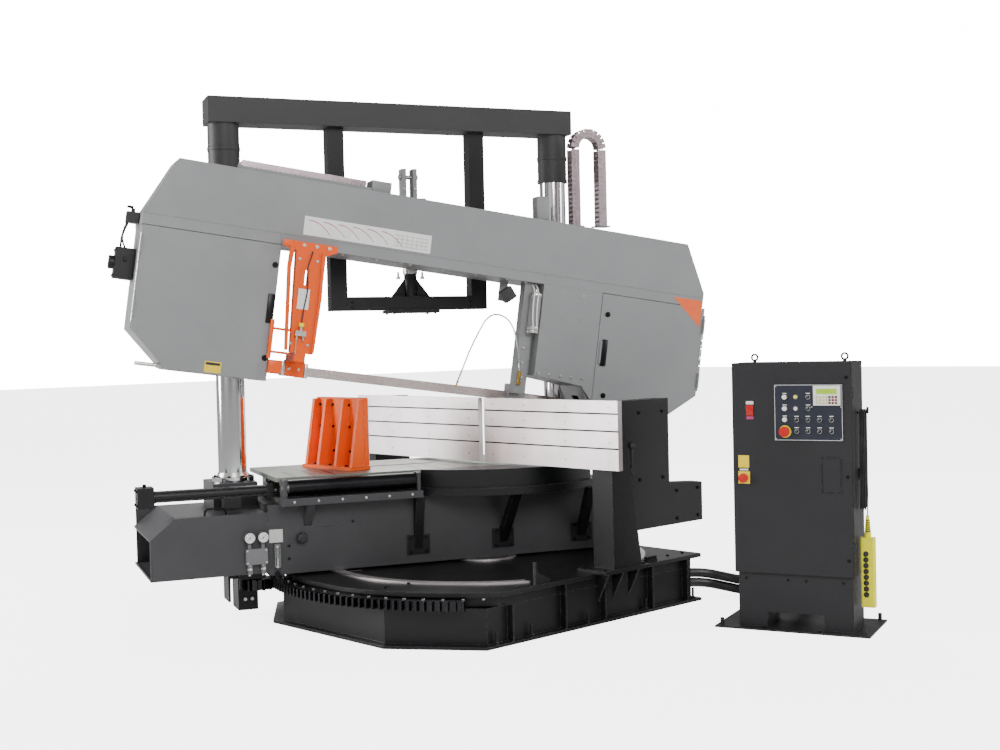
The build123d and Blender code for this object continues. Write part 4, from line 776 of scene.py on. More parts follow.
# ---- Columns, sleeves and lift frame ----
# Ground and chromed columns stand in bolted cast feet. The crossbar and its hanging frame are
# square steel tube, with bolted plates and weld beads.
feet = bmesh.new()
for name in ("column_left", "column_right"):
    low, high = corners(name, swivel)
    middle = (low + high) / 2
    for number in range(8):
        angle = (number + 0.5) * pi / 4
        screw(feet, (middle.x + 0.128 * cos(angle), middle.y + 0.128 * sin(angle), low.z + 0.0345),
              (0, 0, 1), 0.012)
finish_piece("column_foot_bolts", feet, "swivel", dark_steel, swivel)
foot_covers = bmesh.new()
for name in ("column_left", "column_right"):
    low, high = corners(name, swivel)
    middle = (low + high) / 2
    ring = bmesh.ops.create_cone(foot_covers, cap_ends=False, segments=64, radius1=0.116,
                                 radius2=0.104, depth=0.030,
                                 matrix=Matrix.Translation((middle.x, middle.y, low.z + 0.0500)))
foot_faces = list(foot_covers.faces)
bmesh.ops.solidify(foot_covers, geom=foot_faces, thickness=0.003)
finish_piece("column_wiper_rings", foot_covers, "swivel", bright_zinc, swivel)
bar_low, bar_high = corners("top_crossbar", swivel)
sleeve_rings = bmesh.new()
for name in ("column_left", "column_right"):
    low, high = corners(name, swivel)
    middle = (low + high) / 2
    for level in (bar_low.z - 0.0005, 3.340):
        ring = bmesh.ops.create_cone(sleeve_rings, cap_ends=False, segments=64, radius1=0.117,
                                     radius2=0.117,
                                     depth=0.026, matrix=Matrix.Translation((middle.x, middle.y,
                                                                             level + 0.013)))
ring_faces = list(sleeve_rings.faces)
bmesh.ops.solidify(sleeve_rings, geom=ring_faces, thickness=0.0045)
finish_piece("sleeve_clamp_rings", sleeve_rings, "swivel", top_enamel, swivel)
bar_bolts = bmesh.new()
for x in (-1.850, -1.715, 0.710, 0.840):
    for y in (0.265, 0.435):
        screw(bar_bolts, (x, y, bar_high.z - 0.0130), (0, 0, 1), 0.013)
finish_piece("crossbar_bolts", bar_bolts, "swivel", dark_steel, swivel)
hanger_low, hanger_high = corners("hanger_bar", swivel)
hanger_bits = bmesh.new()
for x in (-0.570, -0.250):
    for y in (0.258, 0.442):
        screw(hanger_bits, (x, y, hanger_low.z), (0, 0, -1), 0.011)
for x in (-0.890, 0.035):
    for z in (hanger_low.z + 0.045, hanger_high.z - 0.170):
        screw(hanger_bits, (x + 0.012, 0.295 - 0.0005, z), (0, -1, 0), 0.009)
finish_piece("hanger_bolts", hanger_bits, "swivel", dark_steel, swivel)
stay_rods = bmesh.new()
for x in (-0.505, -0.315):
    rod(stay_rods, (x, 0.350, hanger_high.z), (x, 0.350, hanger_high.z + 0.055), 0.009, 16)
    rod(stay_rods, (x, 0.350, hanger_high.z), (x, 0.350, hanger_high.z + 0.020), 0.016, 6)
finish_piece("lift_stay_rods", stay_rods, "swivel", chrome, swivel)
gland = bmesh.new()
cyl_low, cyl_high = corners("lift_cylinder", swivel)
gland_middle = (cyl_low + cyl_high) / 2
bmesh.ops.create_cone(gland, cap_ends=False, segments=48, radius1=0.055, radius2=0.055, depth=0.040,
                      matrix=Matrix.Translation((gland_middle.x, gland_middle.y,
                                                 cyl_high.z - 0.020)))
gland_faces = list(gland.faces)
bmesh.ops.solidify(gland, geom=gland_faces, thickness=0.006)
finish_piece("lift_cylinder_gland", gland, "swivel", bright_zinc, swivel)
pins = bmesh.new()
_, rod_high = corners("lift_rod", swivel)
rod(pins, (gland_middle.x - 0.075, 0.350, rod_high.z - 0.060),
    (gland_middle.x + 0.075, 0.350, rod_high.z - 0.060), 0.016)
for side in (-1, 1):
    rod(pins, (gland_middle.x + side * 0.062, 0.350, rod_high.z - 0.060),
        (gland_middle.x + side * 0.068, 0.350, rod_high.z - 0.060), 0.026)
    screw(pins, (gland_middle.x + side * 0.042, 0.304, rod_high.z - 0.150), (0, -1, 0), 0.010)
finish_piece("lift_clevis_pin", pins, "head", bright_zinc, swivel)

# ---- Idle-end attachments ----
# The tension cylinder, valve block and brush stub on the end of the head, with their elbows
# and hoses.
ends = bmesh.new()
z = 0.585
rod(ends, (-2.722, 0.060, z), (-2.7405, 0.060, z), 0.0468, 6)
rod(ends, (-2.640, 0.010, z + 0.030), (-2.640, -0.030, z + 0.030), 0.014, 12)
for z in (0.500, 0.670):
    for y in (0.005, 0.115):
        screw(ends, (-2.704, y, z), (-1, 0, 0), 0.009)
rod(ends, (-2.645, 0.020, 0.960), (-2.645, 0.020, 0.975), 0.024, 6)
round_edges(ends, 0.002, 1)
finish_piece("idle_end_fittings", ends, "head", dark_steel, head)
spigot = bmesh.new()
rod(spigot, (-2.330, -0.120, -0.072), (-2.5155, -0.120, -0.072), 0.0135, 24)
rod(spigot, (-2.330, -0.120, -0.072), (-2.374, -0.120, -0.072), 0.0200, 6)
round_edges(spigot, 0.0015, 1)
finish_piece("drain_spigot", spigot, "head", bright_zinc, head)
for number, (low_z, high_z) in enumerate(((0.690, 0.850), (0.640, 0.860))):
    y = 0.010 + 0.060 * number
    tube_piece(f"idle_end_hose_{number + 1}",
               [(-2.650, y, low_z), (-2.672, y, low_z + 0.04), (-2.676, y, (low_z + high_z) / 2),
                                               (-2.662, y, high_z - 0.03), (-2.650, y,
                                                                            high_z + 0.005)],
               0.014, "head", black_rubber, head)

# ---- Work table ----
# Planed cast-iron plates with T-slots across them as flat dark strips of painted shade, a ground
# front edge, and rows of countersunk screws that hold the wear strips.
table_low, table_high = corners("table_bed", swivel)
slot_shade_strips, slot_screws = bmesh.new(), bmesh.new()
# The dark strips stand in for the slot recesses: painted shade, not cuts.
for x in (-1.44, -1.30, -1.16, -0.52, -0.38, -0.24):
    block(slot_shade_strips, (x - 0.008, table_low.y + 0.010, table_high.z - 0.002),
          (x + 0.008, 0.250, table_high.z + 0.0004))
for y in (-0.100, 0.060, 0.220):
    for x in (-1.53, -1.37, -1.23, -0.45, -0.31):
        rod(slot_screws, (x, y, table_high.z - 0.003), (x, y, table_high.z + 0.0005), 0.010, 16)
finish_piece("table_slot_painted_shade", slot_shade_strips, "swivel", dark_steel, swivel)
finish_piece("table_screws", slot_screws, "swivel", bright_zinc, swivel)
edge = bmesh.new()
block(edge, (table_low.x + 0.002, table_low.y - 0.0030, table_high.z - 0.029),
      (-0.590, table_low.y + 0.0005, table_high.z - 0.001))
for number in range(7):
    screw(edge, (-1.52 + 0.150 * number, table_low.y - 0.0030, table_high.z - 0.015), (0, -1, 0),
          0.0065)
round_edges(edge, 0.0008, 1)
finish_piece("table_edge_strip", edge, "swivel", table_iron, swivel)
rim_bolts = bmesh.new()
for x, y in ((-0.44, -0.255), (-0.30, -0.335), (-0.12, -0.415), (0.05, -0.460), (0.25, -0.475),
             (0.42, -0.445), (0.58, -0.390), (0.70, -0.335)):
    rod(rim_bolts, (x, y, 1.034), (x, y, 1.0362), 0.011, 16)
finish_piece("apron_screws", rim_bolts, "swivel", dark_steel, swivel)
strut_bolts = bmesh.new()
for x in (-0.560, 0.095, 0.730):
    for dx in (-0.058, 0.058):
        for z in (0.450, 0.550):
            screw(strut_bolts, (x + dx, -0.154, z), (0, -1, 0), 0.010)
finish_piece("strut_foot_bolts", strut_bolts, "swivel", dark_steel, swivel)

# ---- Infeed roller ----
# A steel tube roller, blackened by use, with pressed end caps on its stubs.
roller_low, roller_high = corners("infeed_roller", swivel)
roller_axis = (roller_low + roller_high) / 2
roller_caps = bmesh.new()
for x, out in ((roller_low.x + 0.022, -1), (roller_high.x - 0.022, 1)):
    rod(roller_caps, (x, roller_axis.y, roller_axis.z),
        (x + out * 0.002, roller_axis.y, roller_axis.z), 0.050, 32)
    rod(roller_caps, (x, roller_axis.y, roller_axis.z),
        (x + out * 0.008, roller_axis.y, roller_axis.z), 0.024, 24)
finish_piece("infeed_roller_caps", roller_caps, "infeed_roller", bright_zinc,
             swivel)
rail_bits = bmesh.new()
rail_low, rail_high = corners("roller_rail", swivel)
for number in range(6):
    x = rail_low.x + 0.08 + number * (rail_high.x - rail_low.x - 0.16) / 5
    screw(rail_bits, (x, rail_low.y, 0.876), (0, -1, 0), 0.008)
for x in (rail_low.x + 0.014, rail_high.x - 0.009):
    rod(rail_bits, (x, roller_axis.y, roller_axis.z),
        (x + (0.010 if x > roller_axis.x else -0.002), roller_axis.y, roller_axis.z), 0.020, 24)
finish_piece("roller_rail_screws", rail_bits, "swivel", bright_zinc, swivel)

# ---- Vise cylinder ----
# A tie-rod hydraulic cylinder: blackened end blocks, and the nuts on its
# four tie rods and on its two ports.
vise_low, _ = corners("vise_cylinder", swivel)
vise_nuts = bmesh.new()
for y in (-0.048, 0.048):
    for z in (0.892, 0.988):
        screw(vise_nuts, (vise_low.x - 0.0003, y, z), (-1, 0, 0), 0.010)
for y in (-0.030, 0.030):
    for z in (0.910, 0.970):
        rod(vise_nuts, (vise_low.x + 0.110, y, z), (vise_low.x + 0.122, y, z), 0.012, 6)
rod(vise_nuts, (vise_low.x + 0.055, 0.0, 1.0095), (vise_low.x + 0.055, 0.0, 1.030), 0.014, 6)
rod(vise_nuts, (-1.598, 0.0, 0.9875), (-1.598, 0.0, 1.008), 0.012, 6)
finish_piece("vise_cylinder_nuts", vise_nuts, "swivel", dark_steel, swivel)

# ---- Movable jaw ----
# A ribbed iron casting in orange enamel, with a ground steel face plate held by socket screws.
jaw_low, jaw_high = corners("movable_jaw", Matrix())
face = bmesh.new()
block(face, (jaw_high.x - 0.0005, jaw_low.y + 0.020, 1.062),
      (jaw_high.x + 0.010, jaw_high.y - 0.020, jaw_high.z - 0.010))
round_edges(face, 0.0015, 1)
finish_piece("movable_jaw_face", face, "movable_jaw", ground_steel)
jaw_bolts = bmesh.new()
for y in (0.495, 0.695, 0.875):
    screw(jaw_bolts, (-0.880, y, 1.0605), (0, 0, 1), 0.013)
for y in (0.430, 0.560, 0.640, 0.760, 0.840, 0.915):
    for z in (1.16, 1.34, 1.50):
        screw(jaw_bolts, (-0.7905, y, z), (-1, 0, 0), 0.009)
finish_piece("movable_jaw_bolts", jaw_bolts, "movable_jaw", dark_steel)
fillets = bmesh.new()
for y in (0.400, 0.590, 0.800, 0.945):
    for side in (-1, 1):
        rod(fillets, (-0.792, y + side * 0.0165, 1.066),
            (-0.792, y + side * 0.0165, jaw_high.z - 0.012), 0.0045, 8)
        rod(fillets, (-0.905, y + side * 0.0165, 1.061), (-0.796, y + side * 0.0165, 1.061), 0.0045,
            8)
finish_piece("movable_jaw_fillets", fillets, "movable_jaw", orange_enamel)

# ---- Fixed jaws ----
# Two surface-ground steel plates in line, either side of the band, with three grooves each, drawn
# as flat dark strips of painted shade, and countersunk screws into the towers.
near_low, near_high = corners("fixed_jaw_near", Matrix())
far_low, far_high = corners("fixed_jaw_far", Matrix())
groove_shade_strips, jaw_screws = bmesh.new(), bmesh.new()
# The grooves are flat dark strips on the jaw faces: painted shade, not cuts.
for low, high in ((near_low, near_high), (far_low, far_high)):
    for share in (0.19, 0.44, 0.69):
        z = high.z - share * (high.z - low.z)
        block(groove_shade_strips, (0.0042, low.y + 0.001, z - 0.0048), (0.0052, high.y - 0.001, z + 0.0048))
for y in (-1.27, -0.86, -0.45, -0.12, 0.14, 0.60, 1.05, 1.40):
    for z in (1.11, 1.24, 1.37, 1.48):
        rod(jaw_screws, (0.001, y, z), (-0.0009, y, z), 0.0085, 16)
finish_piece("jaw_groove_painted_shade", groove_shade_strips, "base", dark_steel)
finish_piece("jaw_screws", jaw_screws, "base", bright_zinc)

# ---- Tower and base details ----
# Foot bolts and socket screws in the deck and the gear sector, of blackened or zinc-plated
# steel, and a toothed rack stop beside the tower.
base_bits = bmesh.new()
for x in (-0.035, 0.105, 0.245, 0.385):
    screw(base_bits, (x, -1.020, 0.3720), (0, 0, 1), 0.013)
for x in (-0.030, 0.380):
    screw(base_bits, (x, -1.225, 0.3720), (0, 0, 1), 0.013)
for number in range(26):
    angle = radians(-128 - number * 5.2)
    spot = Vector((1.090 * cos(angle), 1.090 * sin(angle), 0.3480))
    if abs(spot.y) < 1.0 and spot.x > -1.35:
        rod(base_bits, spot, spot + Vector((0, 0, 0.006)), 0.012, 12)
for x in (-1.30, -1.10, 0.65, 0.85, 1.02):
    for y in (-1.05, 1.05) if x > -1.0 else (-0.45, 0.45):
        screw(base_bits, (x, y, 0.3478), (0, 0, 1), 0.012)
for number in range(5):
    block(base_bits, (0.500 + number * 0.022, -1.158, 0.3475),
          (0.512 + number * 0.022, -1.128, 0.392))
block(base_bits, (0.495, -1.160, 0.3475), (0.605, -1.122, 0.372))
finish_piece("deck_bolts", base_bits, "base", dark_steel)
gear_screws = bmesh.new()
_, gear_high = corners("slew_gear_ring", Matrix())
for number in range(22):
    angle = radians(227 - number * 4.9)
    spot = Vector((1.512 * cos(angle), 1.512 * sin(angle), gear_high.z - 0.0005))
    rod(gear_screws, spot, spot + Vector((0, 0, 0.007)), 0.010, 12)
finish_piece("gear_sector_screws", gear_screws, "base", bright_zinc)
tower_bits = bmesh.new()
lever_low, lever_high = corners("tower_lever", Matrix())
rod(tower_bits, (0.285, -1.1885, 0.905), (0.285, -1.200, 0.905), 0.030, 24)
rod(tower_bits, (0.285, -1.200, 0.905), (0.285, -1.212, 0.905), 0.018, 6)
for x, z in ((0.400, 0.95), (0.650, 0.95), (0.400, 1.42), (0.650, 1.42), (0.80, 0.64), (1.04, 0.64),
             (0.80, 0.84), (1.04, 0.84)):
    screw(tower_bits, (x, -1.1900, z), (0, -1, 0), 0.012)
finish_piece("tower_bolts", tower_bits, "base", dark_steel)
ball = bmesh.new()
bmesh.ops.create_uvsphere(ball, u_segments=24, v_segments=16, radius=0.0240,
                          matrix=Matrix.Translation((0.285, lever_low.y + 0.0245,
                                                     lever_high.z - 0.027)))
rod(ball, (0.285, lever_low.y + 0.0245, lever_high.z - 0.070),
    (0.285, lever_low.y + 0.0245, lever_high.z - 0.050), 0.013, 16)
finish_piece("tower_lever_ball", ball, "tower_lever", black_nylon)

# ---- Body fittings ----
# Hydraulic station on the trough's face: two glycerine gauges with white dials, a grey enamelled
# manifold with two taps, a sight glass, and the lifting handle on top.
BODY_FACE = -0.144
bezels, dials, marks, needles = bmesh.new(), bmesh.new(), bmesh.new(), bmesh.new()
for x in (-1.777, -1.685):
    z = 0.639
    rod(bezels, (x, BODY_FACE - 0.034, z), (x, BODY_FACE - 0.0475, z), 0.0395, 40)
    rod(bezels, (x, BODY_FACE - 0.012, 0.600), (x, BODY_FACE - 0.012, 0.562), 0.0125, 6)
    rod(dials, (x, BODY_FACE - 0.047, z), (x, BODY_FACE - 0.0485, z), 0.0350, 40)
    for tick in range(11):
        angle = radians(225 - 27 * tick)
        long = 0.010 if tick % 2 == 0 else 0.006
        outer = Vector((x + 0.032 * cos(angle), BODY_FACE - 0.0487, z + 0.032 * sin(angle)))
        inner = Vector((x + (0.032 - long) * cos(angle), BODY_FACE - 0.0487,
                        z + (0.032 - long) * sin(angle)))
        rod(marks, inner, outer, 0.0010, 6)
    rod(needles, (x - 0.012, BODY_FACE - 0.0500, z - 0.011),
        (x + 0.018, BODY_FACE - 0.0500, z + 0.017), 0.0019, 6, 0.0008)
    rod(needles, (x, BODY_FACE - 0.0485, z), (x, BODY_FACE - 0.0510, z), 0.0045, 12)
round_edges(bezels, 0.002)
finish_piece("gauge_bezels", bezels, "swivel", dark_steel, swivel)
finish_piece("gauge_dials", dials, "swivel", label_white, swivel)
finish_piece("gauge_marks", marks, "swivel", label_black, swivel)
finish_piece("gauge_needles", needles, "swivel", black_nylon, swivel)
taps = bmesh.new()
for x in (-1.777, -1.685):
    rod(taps, (x, BODY_FACE - 0.020, 0.456), (x, BODY_FACE - 0.020, 0.444), 0.0165, 6)
    rod(taps, (x, BODY_FACE - 0.0335, 0.424), (x, BODY_FACE - 0.044, 0.424), 0.011, 16)
    block(taps, (x - 0.022, BODY_FACE - 0.049, 0.4195), (x + 0.012, BODY_FACE - 0.044, 0.4285))
    rod(taps, (x, BODY_FACE - 0.017, 0.391), (x, BODY_FACE - 0.017, 0.376), 0.012, 6)
for x in (-1.795, -1.665):
    for z in (0.466, 0.550):
        screw(taps, (x, BODY_FACE - 0.0378, z), (0, -1, 0), 0.0065)
round_edges(taps, 0.0012, 1)
finish_piece("manifold_taps", taps, "swivel", bright_zinc, swivel)
glass = bmesh.new()
rod(glass, (-1.585, BODY_FACE - 0.036, 0.432), (-1.585, BODY_FACE - 0.036, 0.560), 0.0115, 20)
finish_piece("sight_glass", glass, "swivel", clear_acrylic, swivel)
glass_ends = bmesh.new()
for z in (0.421, 0.560):
    rod(glass_ends, (-1.585, BODY_FACE - 0.036, z), (-1.585, BODY_FACE - 0.036, z + 0.014), 0.015,
        6)
rod(glass_ends, (-1.585, BODY_FACE - 0.036, 0.434), (-1.585, BODY_FACE - 0.036, 0.486), 0.0072, 12)
finish_piece("sight_glass_nuts", glass_ends, "swivel", bright_zinc, swivel)
body_bits = bmesh.new()
block(body_bits, (-1.836, BODY_FACE - 0.0030, 0.352), (-1.700, BODY_FACE + 0.001, 0.372))
rod(body_bits, (-1.585, BODY_FACE + 0.001, 0.372), (-1.585, BODY_FACE - 0.014, 0.372), 0.022, 6)
for x, z in ((-1.500, 0.560), (-1.500, 0.470), (-1.040, 0.700), (-0.900, 0.330), (0.30, 0.330),
             (1.060, 0.500)):
    screw(body_bits, (x, BODY_FACE - 0.0003, z), (0, -1, 0), 0.009)
finish_piece("body_plugs_and_screws", body_bits, "swivel", dark_steel, swivel)
seam = bmesh.new()
block(seam, (-1.290, BODY_FACE - 0.0006, 0.6750), (-1.120, BODY_FACE + 0.001, 0.6790))
for low_x, high_x in ((-1.106, -0.984), (0.883, 0.966)):
    block(seam, (low_x, BODY_FACE - 0.0120, 0.302), (high_x, BODY_FACE + 0.001, 0.352))
finish_piece("body_slide_pads", seam, "swivel", body_enamel, swivel)
tag = bmesh.new()
block(tag, (-1.636, BODY_FACE - 0.0030, 0.590), (-1.541, BODY_FACE + 0.001, 0.681))
for x in (-1.627, -1.550):
    for z in (0.599, 0.672):
        rod(tag, (x, BODY_FACE - 0.0028, z), (x, BODY_FACE - 0.0045, z), 0.0040, 12)
finish_piece("body_blank_tag", tag, "swivel", bright_zinc, swivel)
tube_piece("trough_lift_handle",
           [(-2.060, -0.080, 0.798), (-2.060, -0.080, 0.830), (-2.040, -0.080, 0.846),
            (-1.940, -0.080, 0.846),
                                  (-1.915, -0.080, 0.830), (-1.915, -0.080,
                                                            0.798)], 0.014, "swivel", dark_steel, swivel)
trough_lip = bmesh.new()
trough_low, _ = corners("chip_trough", swivel)
block(trough_lip, (trough_low.x - 0.0005, -0.146, trough_low.z),
      (trough_low.x + 0.012, -0.132, 0.660))
block(trough_lip, (trough_low.x - 0.0005, -0.146, trough_low.z - 0.0005),
      (trough_low.x + 0.014, 0.740, trough_low.z + 0.014))
round_edges(trough_lip, 0.002)
finish_piece("trough_rolled_edge", trough_lip, "swivel", body_enamel, swivel)
knob_grip = bmesh.new()
knob_middle = [(a + b) / 2 for a, b in zip(*corners("lock_knob", swivel))]
for number in range(8):
    angle = number * pi / 4
    spot = (knob_middle[0] + 0.033 * cos(angle), BODY_FACE - 0.010,
            knob_middle[2] + 0.033 * sin(angle))
    rod(knob_grip, spot, (spot[0], BODY_FACE - 0.036, spot[2]), 0.0072, 12)
finish_piece("lock_knob_grips", knob_grip, "lock_knob", black_nylon, swivel)

# ---- Slewing drive ----
# Hydraulic gearmotor under the trough. Its four zinc-plated hose connectors are screwed into
# the front of its casing.
drive_low, _ = corners("swivel_drive", swivel)
motor = bmesh.new()
for x, z in ((0.10, 0.15), (0.15, 0.15), (0.10, 0.24), (0.15, 0.24)):
    rod(motor, (drive_low.x + x + 0.05, drive_low.y + 0.2635, z),
        (drive_low.x + x + 0.05, drive_low.y + 0.245, z), 0.013, 6)
finish_piece("drive_connectors", motor, "swivel", bright_zinc, swivel)

# ---- Cabinet door and controls ----
# Folded steel cabinet in fine-textured charcoal enamel. Its control plate is a dark engraved
# laminate with a pale rule round it, screwed on, with a screen, selectors and lamps.
frame_lines, panel_screws = bmesh.new(), bmesh.new()
for low, high in (((0.419, 1.253), (0.859, 1.2555)), ((0.419, 1.6115), (0.859, 1.614)),
                  ((0.419, 1.2555), (0.4215, 1.6115)), ((0.8565, 1.2555), (0.859, 1.6115))):
    block(frame_lines, (low[0], 0.0464, low[1]), (high[0], 0.0472, high[1]))
for x, z in ((0.428, 1.262), (0.850, 1.262), (0.428, 1.605), (0.663, 1.470), (0.850, 1.470)):
    rod(panel_screws, (x, 0.0472, z), (x, 0.0450, z), 0.0050, 16)
finish_piece("panel_border", frame_lines, "cabinet_door", label_white, cabinet)
finish_piece("panel_screws", panel_screws, "cabinet_door", bright_zinc, cabinet)
panel_face = bmesh.new()
block(panel_face, (0.4155, 0.0466, 1.2495), (0.8625, 0.0470, 1.6175))
finish_piece("panel_laminate", panel_face, "cabinet_door",
             moulded("panel_navy_laminate", "#161a28", "#1d2232", 0.45), cabinet)
bezel, screen, keys, key_marks = bmesh.new(), bmesh.new(), bmesh.new(), bmesh.new()
block(bezel, (0.674, 0.0390, 1.480), (0.850, 0.0424, 1.609))
round_edges(bezel, 0.002)
block(screen, (0.694, 0.0384, 1.554), (0.826, 0.0392, 1.588))
red_keys = bmesh.new()
for column in range(7):
    for row in range(3):
        x, z = 0.691 + column * 0.0205, 1.489 + row * 0.0190
        block(keys if column < 4 else red_keys, (x, 0.0366, z), (x + 0.0150, 0.0392, z + 0.0145))
        block(key_marks, (x + 0.005, 0.0363, z + 0.0060), (x + 0.010, 0.0367, z + 0.0080))
round_edges(keys, 0.0012)
finish_piece("operator_panel_bezel", bezel, "cabinet_door", white_plastic, cabinet)
finish_piece("operator_panel_display", screen, "cabinet_door", display_green,
             cabinet)
round_edges(red_keys, 0.0012)
finish_piece("operator_panel_keys", keys, "cabinet_door",
             moulded("key_cream_plastic", "#d8d2a0", "#c2bc8c"),
             cabinet)
finish_piece("operator_panel_function_keys", red_keys, "cabinet_door",
             moulded("key_maroon_plastic", "#7a3034", "#6a282c"), cabinet)
finish_piece("operator_panel_key_marks", key_marks, "cabinet_door", label_black,
             cabinet)
selectors, collars, pointers, legends = bmesh.new(), bmesh.new(), bmesh.new(), bmesh.new()
SELECTORS = [(x, z) for x in (0.563, 0.637, 0.712, 0.789) for z in (1.386, 1.312)] + [(0.639,
                                                                                       1.535), (0.639, 1.460)]
for x, z in SELECTORS:
    rod(collars, (x, 0.0470, z), (x, 0.0420, z), 0.0150, 32)
    rod(selectors, (x, 0.0425, z), (x, 0.0340, z), 0.0118, 28)
    block(selectors, (x - 0.0035, 0.0240, z - 0.0110), (x + 0.0035, 0.0345, z + 0.0110))
    block(pointers, (x - 0.0009, 0.0236, z + 0.0020), (x + 0.0009, 0.0242, z + 0.0105))
    block(legends, (x - 0.014, 0.0462, z + 0.021), (x + 0.014, 0.0468, z + 0.026))
for x, z in ((0.486, 1.535), (0.486, 1.460), (0.486, 1.388)):
    rod(collars, (x, 0.0472, z), (x, 0.0440, z), 0.0168, 32)
    block(legends, (x - 0.014, 0.0462, z + 0.021), (x + 0.014, 0.0468, z + 0.026))
rod(collars, (0.558, 0.0470, 1.536), (0.558, 0.0430, 1.536), 0.0150, 32)
rod(collars, (0.558, 0.0470, 1.460), (0.558, 0.0430, 1.460), 0.0150, 32)
round_edges(selectors, 0.0012, 1)
finish_piece("selector_knobs", selectors, "cabinet_door", black_nylon, cabinet)
finish_piece("control_collars", collars, "cabinet_door", bright_zinc, cabinet)
finish_piece("selector_pointers", pointers, "cabinet_door", label_white, cabinet)
finish_piece("control_blank_legends", legends, "cabinet_door", label_white,
             cabinet)
amber, clear = bmesh.new(), bmesh.new()
rod(amber, (0.558, 0.0432, 1.536), (0.558, 0.0350, 1.536), 0.0115, 28, 0.0100)
rod(clear, (0.558, 0.0432, 1.460), (0.558, 0.0350, 1.460), 0.0115, 28, 0.0100)
round_edges(amber, 0.0015)
round_edges(clear, 0.0015)
finish_piece("amber_lamp", amber, "cabinet_door", yellow_plastic, cabinet)
finish_piece("white_lamp", clear, "cabinet_door", white_plastic, cabinet)
ring, plates = bmesh.new(), bmesh.new()
rod(ring, (0.486, 0.0470, 1.310), (0.486, 0.0455, 1.310), 0.0400, 40)
block(plates, (0.166, 0.0500, 0.961), (0.244, 0.0522, 1.043))
round_edges(plates, 0.003)
block(plates, (0.167, 0.0508, 1.068), (0.240, 0.0522, 1.149))
finish_piece("stop_button_ring", ring, "cabinet_door", yellow_plastic, cabinet)
finish_piece("main_switch_plates", plates, "cabinet_door", label_yellow, cabinet)
stack, stack_plates, stack_foot = bmesh.new(), bmesh.new(), bmesh.new()
block(stack, (0.227, 0.0430, 1.413), (0.275, 0.0522, 1.482))
rod(stack, (0.251, 0.0435, 1.447), (0.251, 0.0370, 1.447), 0.0170, 32, 0.0155)
round_edges(stack, 0.0020)
block(stack_plates, (0.226, 0.0506, 1.487), (0.276, 0.0522, 1.508))
block(stack_foot, (0.227, 0.0506, 1.388), (0.275, 0.0522, 1.408))
block(stack_plates, (0.176, 0.0506, 1.049), (0.234, 0.0522, 1.060))
finish_piece("hours_lamp_block", stack, "cabinet_door", red_plastic, cabinet)
finish_piece("lamp_blank_plates", stack_plates, "cabinet_door", label_white,
             cabinet)
finish_piece("lamp_foot_plate", stack_foot, "cabinet_door", ink_pink, cabinet)
pocket, door_bits = bmesh.new(), bmesh.new()
for low, high in (((0.717, 0.912), (0.848, 0.917)), ((0.717, 1.142), (0.848, 1.147)),
                  ((0.717, 0.917), (0.722, 1.142)), ((0.843, 0.917), (0.848, 1.142))):
    block(pocket, (low[0], 0.0485, low[1]), (high[0], 0.0522, high[1]))
block(pocket, (0.724, 0.0514, 0.919), (0.841, 0.0522, 1.140))
round_edges(pocket, 0.0012, 1)
finish_piece("cabinet_flush_port", pocket, "cabinet_door", cabinet_enamel, cabinet)
for z in (0.48, 1.02, 1.66):
    rod(door_bits, (0.885, 0.0522, z), (0.885, 0.0485, z), 0.0110, 28)
    block(door_bits, (0.879, 0.0470, z - 0.003), (0.891, 0.0490, z + 0.003))
finish_piece("cabinet_quarter_turn_locks", door_bits, "cabinet_door", dark_steel,
             cabinet)
# Dark strips down both edges of the door: painted shade of the door's shut-line gaps.
shut_line_shade = bmesh.new()
for x in (0.1335, 0.9115):
    block(shut_line_shade, (x - 0.0015, 0.0530, 0.374), (x + 0.0015, 0.0755, 1.756))
finish_piece("door_gap_painted_shade", shut_line_shade, "base", black_rubber, cabinet)
top_lip = bmesh.new()
block(top_lip, (0.1305, 0.0540, 1.7565), (0.9145, 0.0760, 1.7600))
round_edges(top_lip, 0.001, 1)
finish_piece("cabinet_rain_lip", top_lip, "base", cabinet_enamel, cabinet)
# Dark strips on the cabinet's side: painted shade of the louvre openings.
louvre_shade_strips = bmesh.new()
for row in range(9):
    z = 1.38 + row * 0.020
    block(louvre_shade_strips, (0.1290, 0.140, z), (0.1305, 0.300, z + 0.008))
finish_piece("cabinet_louvre_painted_shade", louvre_shade_strips, "base", dark_steel, cabinet)
floor_bolts = bmesh.new()
plinth_low, plinth_high = corners("cabinet_plinth", cabinet)
for x in (0.20, 0.48, 0.60, 0.84):
    screw(floor_bolts, (x, 0.0765, 0.330), (0, -1, 0), 0.0075)
for x in (plinth_low.x + 0.330, plinth_high.x - 0.330):
    screw(floor_bolts, (x, plinth_low.y + 0.030, 0.0118), (0, 0, 1), 0.013)
finish_piece("cabinet_plinth_bolts", floor_bolts, "base", dark_steel, cabinet)

# ---- Pendant ----
# A yellow polycarbonate pendant box with eight black rubber push caps in one column and
# a ribbed strain relief, which hangs by its lead from a flat steel hook.
caps, rings = bmesh.new(), bmesh.new()
front = 0.1700
for number in range(8):
    x, z = 0.968, 0.248 + number * 0.0378
    rod(rings, (x, front + 0.0004, z), (x, front - 0.0040, z), 0.0175, 28)
    rod(caps, (x, front - 0.0035, z), (x, front - 0.0110, z), 0.0140, 28, 0.0125)
round_edges(caps, 0.0014)
finish_piece("pendant_button_rings", rings, "base", black_rubber, cabinet)
finish_piece("pendant_button_caps", caps, "base", black_nylon, cabinet)
seam = bmesh.new()
for z in (0.176, 0.604):
    for x in (0.940, 1.012):
        rod(seam, (x, front + 0.0004, z), (x, front - 0.0015, z), 0.0045, 16)
finish_piece("pendant_screws", seam, "base", bright_zinc, cabinet)
relief = bmesh.new()
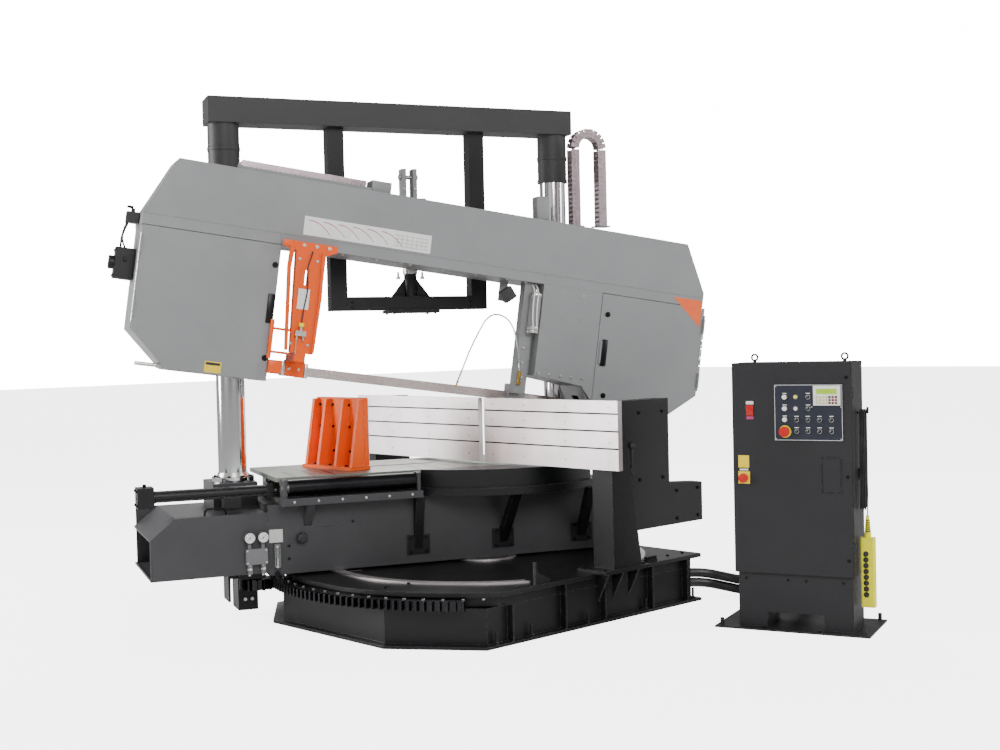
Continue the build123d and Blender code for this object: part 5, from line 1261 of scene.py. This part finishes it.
for number in range(7):
    z = 0.640 + number * 0.014
    rod(relief, (0.976, 0.2025, z), (0.976, 0.2025, z + 0.007), 0.0215 - number * 0.0012, 24)
finish_piece("pendant_strain_relief_ribs", relief, "base", black_rubber, cabinet)

# ---- Pendant lead ----
# An 8 mm oil-proof PVC control lead. It leaves the pendant upward, hangs over the hook in seven
# turns, and goes back into a socket on the cabinet's side.
socket = bmesh.new()
block(socket, (0.9146, 0.2380, 1.002), (0.9360, 0.2620, 1.060))
round_edges(socket, 0.003)
rod(socket, (0.9255, 0.2500, 1.003), (0.9255, 0.2500, 0.985), 0.0095, 6)
finish_piece("pendant_lead_socket", socket, "base", black_nylon, cabinet)
TURNS = 7
lead = [(0.976, 0.2025, 0.7580), (0.976, 0.2025, 0.790), (0.975, 0.2100, 0.830),
        (0.973, 0.2350, 0.900)]
SAGS = (0.012, -0.004, 0.022, 0.006, -0.009, 0.017, 0.000)
for turn_number in range(TURNS):
    x = 0.969 - 0.0050 * turn_number
    wide = 0.0360 if turn_number % 2 == 0 else 0.0270
    top = (1.4365 if turn_number % 2 else 1.4460) - wide
    bottom = 0.800 + wide + SAGS[turn_number]
    for z in (0.960, 1.200, 1.330):
        lead.append((x, 0.212 + wide, z))
    for step in range(7):
        angle = radians(6 + 28 * step)
        lead.append((x, 0.212 + wide * 1.03 * cos(angle), top + wide * 1.03 * sin(angle)))
    for z in (1.330, 1.150, 0.960):
        lead.append((x, 0.212 - wide, z))
    shift = 0.0050 if turn_number < TURNS - 1 else 0.0140
    for step in range(6):
        angle = radians(-170 + 32 * step)
        share = step / 5
        lead.append((x - shift * share, 0.212 + wide * 1.02 * cos(angle),
                     bottom + wide * 1.02 * sin(angle)))
lead += [(0.9255, 0.2490, 0.880), (0.9255, 0.2500, 0.930), (0.9255, 0.2500, 0.986)]
lead = [cabinet @ Vector(point) for point in lead]
pendant_lead = lay_cord("pendant_lead", lead, 0.008, black_rubber)
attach(pendant_lead, "base")
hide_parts("pendant_hank")
length_of(cord_line(pendant_lead))
